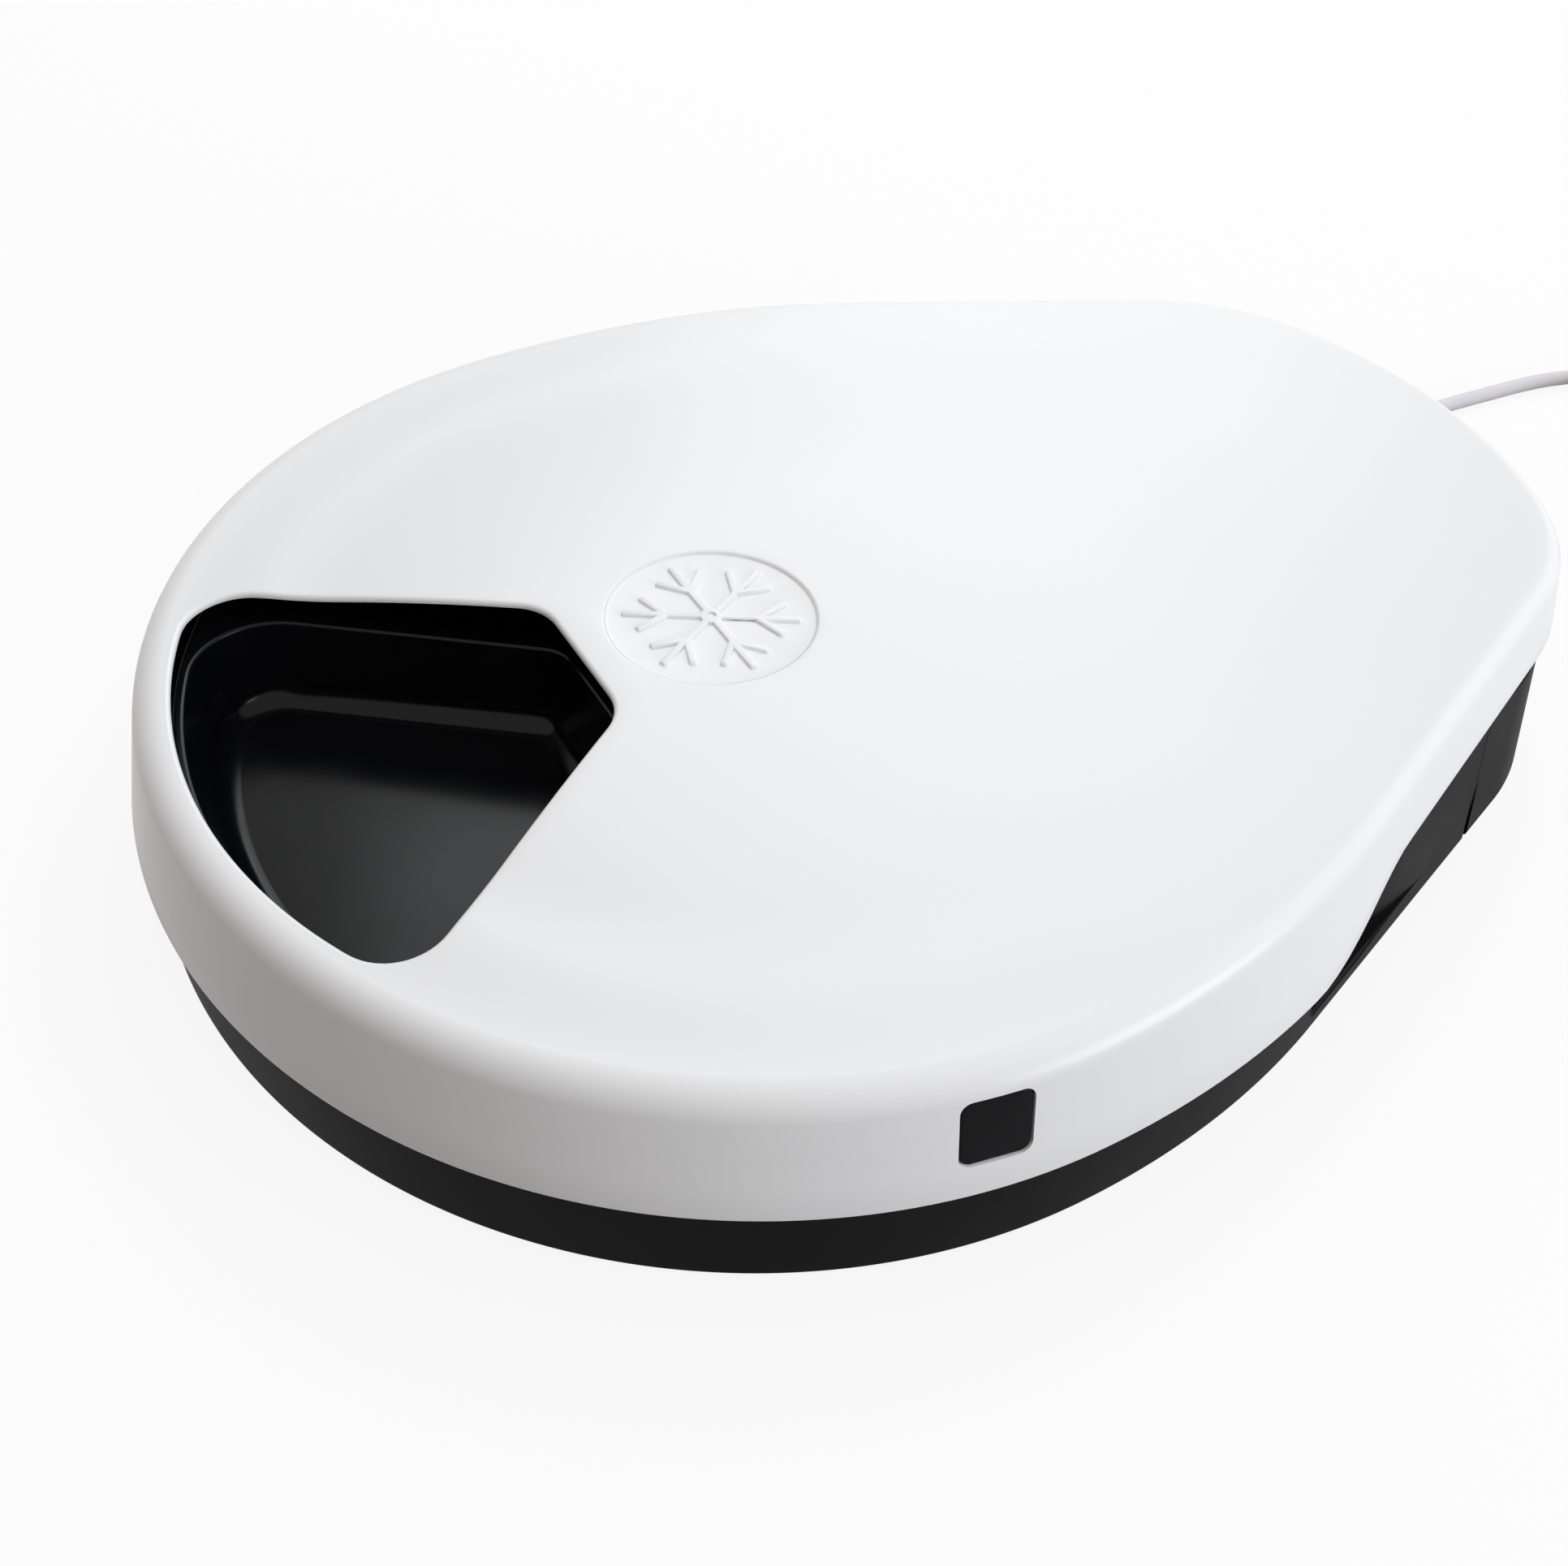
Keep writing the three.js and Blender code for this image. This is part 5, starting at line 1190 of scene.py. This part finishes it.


# Feet, screws and the feeder plug

footLook = {
    "radius": 11.0, "height": 1.4, "round": 0.45, "ring": (6.5, 8.0), "ringDeep": 0.35,
    "frontInset": 9.6, "frontAngle": radians(53.4), "rearY": 153.5, "rearInset": 30,
}
screwLook = {
    "head": 3.1, "headHigh": 1.2, "shank": 1.5, "top": 6.0, "cross": (3.6, 0.7), "crossDeep": 0.6,
    "headRound": 0.3, "shankRound": 0.25, "crossRound": 0.12, "overlap": 0.5,
}


def makeFeet(look, base):
    circle, angle = base["well"] - look["frontInset"], look["frontAngle"]
    front = (circle * cos(angle), -circle * sin(angle))
    rear = (sideFace(look["rearY"])[0].x - look["rearInset"], look["rearY"])
    for end, (x, y) in (("front", front), ("rear", rear)):
        for side, sign in (("left", -1), ("right", 1)):
            inner, outer = look["ring"]
            foot = rod(look["radius"], 0, look["height"], 0, 0, 96, look["round"])
            groove = rod(outer, -1, look["ringDeep"], 0, 0, 96)
            carve(groove, [minus(rod(inner, -2, 1, 0, 0, 96))])
            carve(foot, [minus(groove)])
            foot.data.transform(Matrix.Translation((sign * x, y, 0)))
            asPiece(
                foot, f"foot{end.title()}{side.title()}", f"foot_{end}_{side}", "base",
                "footRubber",
            )


def makeScrews(look, base):
    low = base["bottom"]
    for i, (x, y) in enumerate(screwPlaces(base)):
        long, wide = look["cross"]
        screw = rod(look["head"], low, low + look["headHigh"], 0, 0, 48, look["headRound"])
        shankLow = low + look["overlap"]
        steps = [plus(rod(look["shank"], shankLow, look["top"], 0, 0, 32, look["shankRound"]))]
        for size in ((long / 2, wide / 2), (wide / 2, long / 2)):
            steps.append(minus(block(
                (-size[0], -size[1], 0), (*size, low + look["crossDeep"]), None,
                look["crossRound"],
            )))
        carve(screw, steps)
        screw.data.transform(Matrix.Translation((x, y, 0)))
        asPiece(
            screw, f"bottomScrew{i + 1}", f"bottom_screw_{i + 1}", "base",
            "zincSteel",
        )


def ribbedRelief(look, start, end, place):
    # a tapered sleeve with rounded rings, which lets the cord bend
    profile = [(0, start)]
    ribSteps = look["ribSteps"]
    steps = look["reliefRibs"] * ribSteps
    for i in range(steps + 1):
        radius = mix(look["reliefRoot"], look["reliefTip"], i / steps)
        dip = (0.5 + 0.5 * cos(fullTurn * i / ribSteps)) ** 2
        dip = dip if ribSteps / 2 < i < steps - ribSteps / 2 else 0.0
        profile.append((radius - look["ribDeep"] * dip, mix(start, end, i / steps)))
    profile.append((0, end))
    lying = Matrix.Translation((0, 0, look["height"])) @ turned(pi / 2, "Y")
    return spun(profile, 64, place @ lying)


def makeFeederPlug(look):
    place = plugPlace(look)
    body = roundedBar(*look["body"], look["start"], look["bodyEnd"], look["height"], place)
    start = look["bodyEnd"] - look["overlap"]
    carve(body, [plus(ribbedRelief(look, start, look["reliefEnd"], place))])
    asPiece(body, "feederPlug", "feeder_plug", "base", "cordPvc")


makeFeet(footLook, baseLook)
makeScrews(screwLook, baseLook)
makeFeederPlug(plugLook)
print("feet, screws and plug made")


# The other pieces keep the CAD's shape, with rounded edges

refinedNodes = {  # the body it rides on, its slot, its finish and how far its edges are rounded
    "power_socket": ("base", "socket_plastic", "matteBlackAbs", 0.2),
    "bottom_cover": ("base", "cover_plastic", "matteBlackAbs", 0.25),
    "battery_door": ("base", "cover_plastic", "matteBlackAbs", 0.3),
    "ice_pack_right": ("base", "ice_pack_plastic", "icePackPe", 2.5),
    "ice_pack_left": ("base", "ice_pack_plastic", "icePackPe", 2.5),
    "drive_spindle": ("turntable", "drive_acetal", "ivoryAcetal", 0.3),
    "drive_gear": ("turntable", "drive_acetal", "ivoryAcetal", 0.12),
    "spindle_bush": ("base", "bush_brass", "turnedBrass", 0.12),
    "motor_pinion": ("pinion", "bush_brass", "turnedBrass", 0.12),
    "motor_shaft": ("pinion", "screw_steel", "zincSteel", 0.15),
    "drive_motor": ("base", "motor_steel", "drawnSteelCan", 0.8),
    "index_switch": ("base", "socket_plastic", "matteBlackAbs", 0.2),
    "control_panel": ("base", "panel_plastic", "panelGreyAbs", 0.2),
    "display_window": ("base", "window_smoked", "smokedAcrylic", 0.2),
    "display_module": ("base", "display_face", "displayGlass", 0.15),
    "key_set": ("key_set", "key_rubber", "keySilicone", 0.35),
    "key_down": ("key_down", "key_rubber", "keySilicone", 0.35),
    "key_up": ("key_up", "key_rubber", "keySilicone", 0.35),
    "control_board": ("base", "board_laminate", "greenLaminate", 0.1),
    "battery_box": ("base", "socket_plastic", "matteBlackAbs", 0.3),
    "battery_contacts_front": ("base", "contact_steel", "nickelPlate", 0.08),
    "battery_contacts_rear": ("base", "contact_steel", "nickelPlate", 0.08),
    "battery_cell_1": ("base", "cell_sleeve", "cellSleeve", 0.5),
    "battery_cell_2": ("base", "cell_sleeve", "cellSleeve", 0.5),
    "battery_cell_3": ("base", "cell_sleeve", "cellSleeve", 0.5),
    "motor_cable": ("base", "cable_sheath", "cableVinyl", 0.1),
    "feeder_plug_tongue": ("base", "contact_steel", "nickelPlate", 0.15),
    "cord_tie": ("base", "tie_strap", "strapNylon", 0.15),
    "supply_plug": ("base", "cord_jacket", "cordPvc", 0.3),
    "supply_plug_shell": ("base", "contact_steel", "nickelPlate", 0.08),
}


cadWeld = 0.002
flatTo = radians(1)  # faces that meet flatter than this become one
roundedFrom = 0.7  # edges that turn further than this are rounded


def refine(node, rides, slot, finish, softness):
    # a copy of the CAD mesh, merged, with its sharp edges rounded
    bm = bmesh.new()
    bm.from_mesh(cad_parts[node].data)
    bmesh.ops.transform(bm, matrix=toFrame.inverted(), verts=bm.verts[:])
    bmesh.ops.remove_doubles(bm, verts=bm.verts[:], dist=cadWeld)
    bmesh.ops.dissolve_limit(bm, angle_limit=flatTo, verts=bm.verts[:], edges=bm.edges[:])
    sharp = [e for e in bm.edges if e.is_manifold and e.calc_face_angle(0) > roundedFrom]
    bmesh.ops.bevel(
        bm, geom=sharp, offset=softness, segments=3, affect="EDGES", profile=0.5,
        clamp_overlap=True, material=-1,
    )
    words = node.split("_")
    name = words[0] + "".join(word.title() for word in words[1:])
    asPiece(solid(bm), name, node, rides, finish)


for node, row in refinedNodes.items():
    refine(node, *row)
print("other pieces refined")


# Supply cord: the free stretch along the floor, then the coil out of sight

cord = {
    "diameter": 5.0,
    "cuts": (5, 2),  # between two points of the free stretch and of the coil
    "pastPlug": (0.3, 5.3),  # from the strain relief's end, still in line with the plug
    "route": [
        (-54.8, 293, 9.4), (-56.7, 301.5, 5.8), (-58, 310, 3.4), (-58.6, 319, 2.6),
        (-58.4, 330, 2.6), (-57.7, 344, 2.6), (-56.9, 358, 2.6), (-55.5, 370, 2.6),
        (-53.2, 380, 2.6), (-50.4, 389, 2.7), (-47.6, 398, 3.2), (-46.1, 405, 3.7),
    ],
    "coilEntry": (-46.0, 410.0),
    "coilMeanRadius": 28.6,
    "coilPitch": 5.6,
    "coilTurns": 3.5,  # in each of the two layers
    "coilSteps": 24,  # in each turn
    "coilLow": 3.75,
    "tailLength": 34.0,
    "tailHeight": 4.1,
}


def coilPoints(c):
    # Two layers: the turns spiral in, climb where they reverse, and spiral out.
    outer = c["coilMeanRadius"] + c["coilPitch"] * c["coilTurns"] / 2
    inner = c["coilMeanRadius"] - c["coilPitch"] * c["coilTurns"] / 2
    centre = (c["coilEntry"][0] + outer, c["coilEntry"][1] + c["diameter"])
    points = [Vector((*c["coilEntry"], c["coilLow"]))]
    for i in range(int(c["coilSteps"] * (2 * c["coilTurns"] + 0.5)) + 1):
        turn = i / c["coilSteps"]
        past = turn - c["coilTurns"]
        radius = outer - c["coilPitch"] * turn
        if past > 0:
            radius = inner - c["coilPitch"] / fullTurn * sin(fullTurn * past)
        if past > 0.5:
            radius = inner + c["coilPitch"] * (past - 0.5)
        angle = pi - fullTurn * turn
        points.append(Vector((
            centre[0] + radius * cos(angle), centre[1] + radius * sin(angle),
            c["coilLow"] + c["coilPitch"] * ease(past, 0, 0.5),
        )))
    last = points[-1]
    for share in (0.15, 0.35, 0.55, 0.75, 1):
        points.append(Vector((
            last.x, last.y - (c["tailLength"] - c["diameter"]) * share,
            mix(last.z, c["tailHeight"], ease(share)),
        )))
    points.append(Vector((last.x, last.y - c["tailLength"], c["tailHeight"])))
    return points


def tubeCurve(name, points, diameter):
    data = bpy.data.curves.new(name, "CURVE")
    data.dimensions = "3D"
    data.bevel_depth = diameter / 2 * mm
    data.bevel_resolution = 5
    data.use_fill_caps = True
    spline = data.splines.new("POLY")
    spline.points.add(len(points) - 1)
    for target, point in zip(spline.points, points):
        target.co = (*spot(*point), 1)
    spline.use_smooth = True
    return linked(name, data)


def polylineLength(points):
    return sum((b - a).length for a, b in zip(points, points[1:]))


springLook = {
    "start": 141.9, "end": 144.9, "radius": 2.9, "wire": 0.6, "curls": 4, "steps": 32,
    "height": 43.25,
}


def makeSprings(look):
    count = look["curls"] * look["steps"]
    for side, sign in (("right", 1), ("left", -1)):
        points = []
        for i in range(count + 1):
            angle = fullTurn * i / look["steps"]
            point = lidLook["buttonPlace"] @ Vector((
                mix(look["start"], look["end"], i / count),
                look["radius"] * cos(angle), look["height"] + look["radius"] * sin(angle),
            ))
            points.append(Vector((sign * point.x, point.y, point.z)))
        spring = tubeCurve(f"spring{side.title()}", points, look["wire"])
        standIn(spring, f"release_spring_{side}", "lid", "drawnSteelWire")


makeSprings(springLook)


def alongPlug(distance):
    return plugPlace(plugLook) @ Vector((distance, 0, plugLook["height"]))


freePoints = [alongPlug(plugLook["reliefEnd"] + past) for past in cord["pastPlug"]]
freePoints += [Vector(point) for point in cord["route"]]
freePoints.append(Vector((cord["coilEntry"][0], cord["coilEntry"][1] - 0.3, cord["coilLow"])))
freeFine = smoothed(freePoints, cord["cuts"][0])
coilFine = smoothed(coilPoints(cord), cord["cuts"][1])
freeCord = tubeCurve("supplyCordFree", freeFine, cord["diameter"])
coiledCord = tubeCurve("supplyCordCoil", coilFine, cord["diameter"])
for curve, node in ((freeCord, "power_cord"), (coiledCord, "cord_coil")):
    standIn(curve, node, "base", "cordPvc")
spot(*freeFine[0])
polylineLength(freeFine) * mm
spot(*coilFine[0])
polylineLength(coilFine) * mm
print("cords laid", round(polylineLength(freeFine)), round(polylineLength(coilFine)), "mm")


# Floor, backdrop and light

studio = {
    "floorColour": "#F4F4F5",
    "bounceColour": "#68625F",  # what the object gets back from the floor
    "floorWhiteness": 0.88,  # share of plain white that the eye sees in place of the shading
    "skyTop": 0.8,
    "skySide": 0.1,
    "skyFrom": 0.12,  # up to this height the sky is dim, from the next one on bright
    "skyTo": 0.6,
    "warmSide": (-0.25, -0.97, 0.0),  # from here the room sends a dim brown light
    "warmColour": "#A87C58",
    "aim": (0, 0, 0.03),  # the middle of the feeder
    "lamps": {
        "keySoftbox": {
            "place": (-1.0, 0.7, 1.4), "size": 1.2, "power": 8.3, "colour": (0.96, 0.985, 1.0),
        },
        "sideSoftbox": {
            "place": (1.15, 0.6, 0.22), "size": 0.8, "power": 9.4, "colour": (0.98, 0.975, 1.0),
        },
        "leftSoftbox": {
            "place": (-1.0, 0.8, 0.55), "size": 0.8, "power": 1.6, "colour": (1, 1, 1),
        },
    },
}


def seesBackground(tree):
    # 1 where the eye looks straight, through glass or by way of a reflection
    path = addNode(tree, "ShaderNodeLightPath")
    mirrorOrGlass = addNode(tree, "ShaderNodeMath", {"operation": "MAXIMUM"}, {
        0: path.outputs["Is Glossy Ray"], 1: path.outputs["Is Transmission Ray"],
    })
    seen = addNode(tree, "ShaderNodeMath", {"operation": "MAXIMUM"}, {
        0: path.outputs["Is Camera Ray"], 1: mirrorOrGlass.outputs[0],
    })
    return seen.outputs[0]


def makeFloor(look):
    mesh = bpy.data.meshes.new("floor")
    bm = bmesh.new()
    bmesh.ops.create_grid(bm, x_segments=1, y_segments=1, size=6)
    bm.to_mesh(mesh)
    bm.free()
    floor = linked("floor", mesh)
    material, tree, shader = newMaterial("paleStudioFloor", {
        "Roughness": 0.9, "Specular IOR Level": 0.1,
    })
    seen = seesBackground(tree)
    tint = addNode(tree, "ShaderNodeMix", {
        "data_type": "RGBA", 6: linearColour(look["bounceColour"]),
        7: linearColour(look["floorColour"]),
    }, {0: seen})
    tree.links.new(tint.outputs[2], shader.inputs["Base Color"])
    share = addNode(tree, "ShaderNodeMath", {
        "operation": "MULTIPLY", 1: look["floorWhiteness"],
    }, {0: seen})
    white = addNode(tree, "ShaderNodeEmission", {"Strength": 1.0})
    blend = addNode(tree, "ShaderNodeMixShader", None, {
        0: share.outputs[0], 1: shader.outputs[0], 2: white.outputs[0],
    })
    tree.links.new(blend.outputs[0], tree.nodes["Material Output"].inputs["Surface"])
    mesh.materials.append(material)


def makeWorld(look):
    world = bpy.data.worlds.new("paleStudio")
    bpy.context.scene.world = world
    world.use_nodes = True
    tree = world.node_tree
    tree.nodes.clear()
    coords = addNode(tree, "ShaderNodeTexCoord").outputs["Generated"]
    height = addNode(tree, "ShaderNodeSeparateXYZ", None, {0: coords}).outputs["Z"]
    level = addNode(tree, "ShaderNodeMapRange", {
        "From Min": look["skyFrom"], "From Max": look["skyTo"],
        "To Min": look["skySide"], "To Max": look["skyTop"],
    }, {"Value": height})
    facing = addNode(tree, "ShaderNodeVectorMath", {
        "operation": "DOT_PRODUCT", 1: look["warmSide"],
    }, {0: coords})
    warmth = addNode(tree, "ShaderNodeMapRange", {"From Min": 0.25, "From Max": 0.95}, {
        "Value": facing.outputs["Value"],
    })
    tint = addNode(tree, "ShaderNodeMix", {
        "data_type": "RGBA", 6: (1, 1, 1, 1), 7: linearColour(look["warmColour"]),
    }, {0: warmth.outputs["Result"]})
    sky = addNode(tree, "ShaderNodeBackground", None, {
        "Color": tint.outputs[2], "Strength": level.outputs["Result"],
    })
    white = addNode(tree, "ShaderNodeBackground", {"Color": (1, 1, 1, 1), "Strength": 1.0})
    blend = addNode(tree, "ShaderNodeMixShader", None, {
        0: seesBackground(tree), 1: sky.outputs[0], 2: white.outputs[0],
    })
    output = addNode(tree, "ShaderNodeOutputWorld")
    tree.links.new(blend.outputs[0], output.inputs["Surface"])


def addSoftbox(name, place, size, power, colour):
    data = bpy.data.lights.new(name, "AREA")
    data.shape = "DISK"
    data.size = size
    data.energy = power
    data.color = colour
    lamp = linked(name, data)
    lamp.location = place
    lamp.rotation_mode = "QUATERNION"
    way = Vector(studio["aim"]) - Vector(place)
    lamp.rotation_quaternion = way.to_track_quat("-Z", "Y")


makeFloor(studio)
makeWorld(studio)
for name, lamp in studio["lamps"].items():
    addSoftbox(name, **lamp)
bpy.context.scene.view_settings.view_transform = "Standard"
print("studio lit")
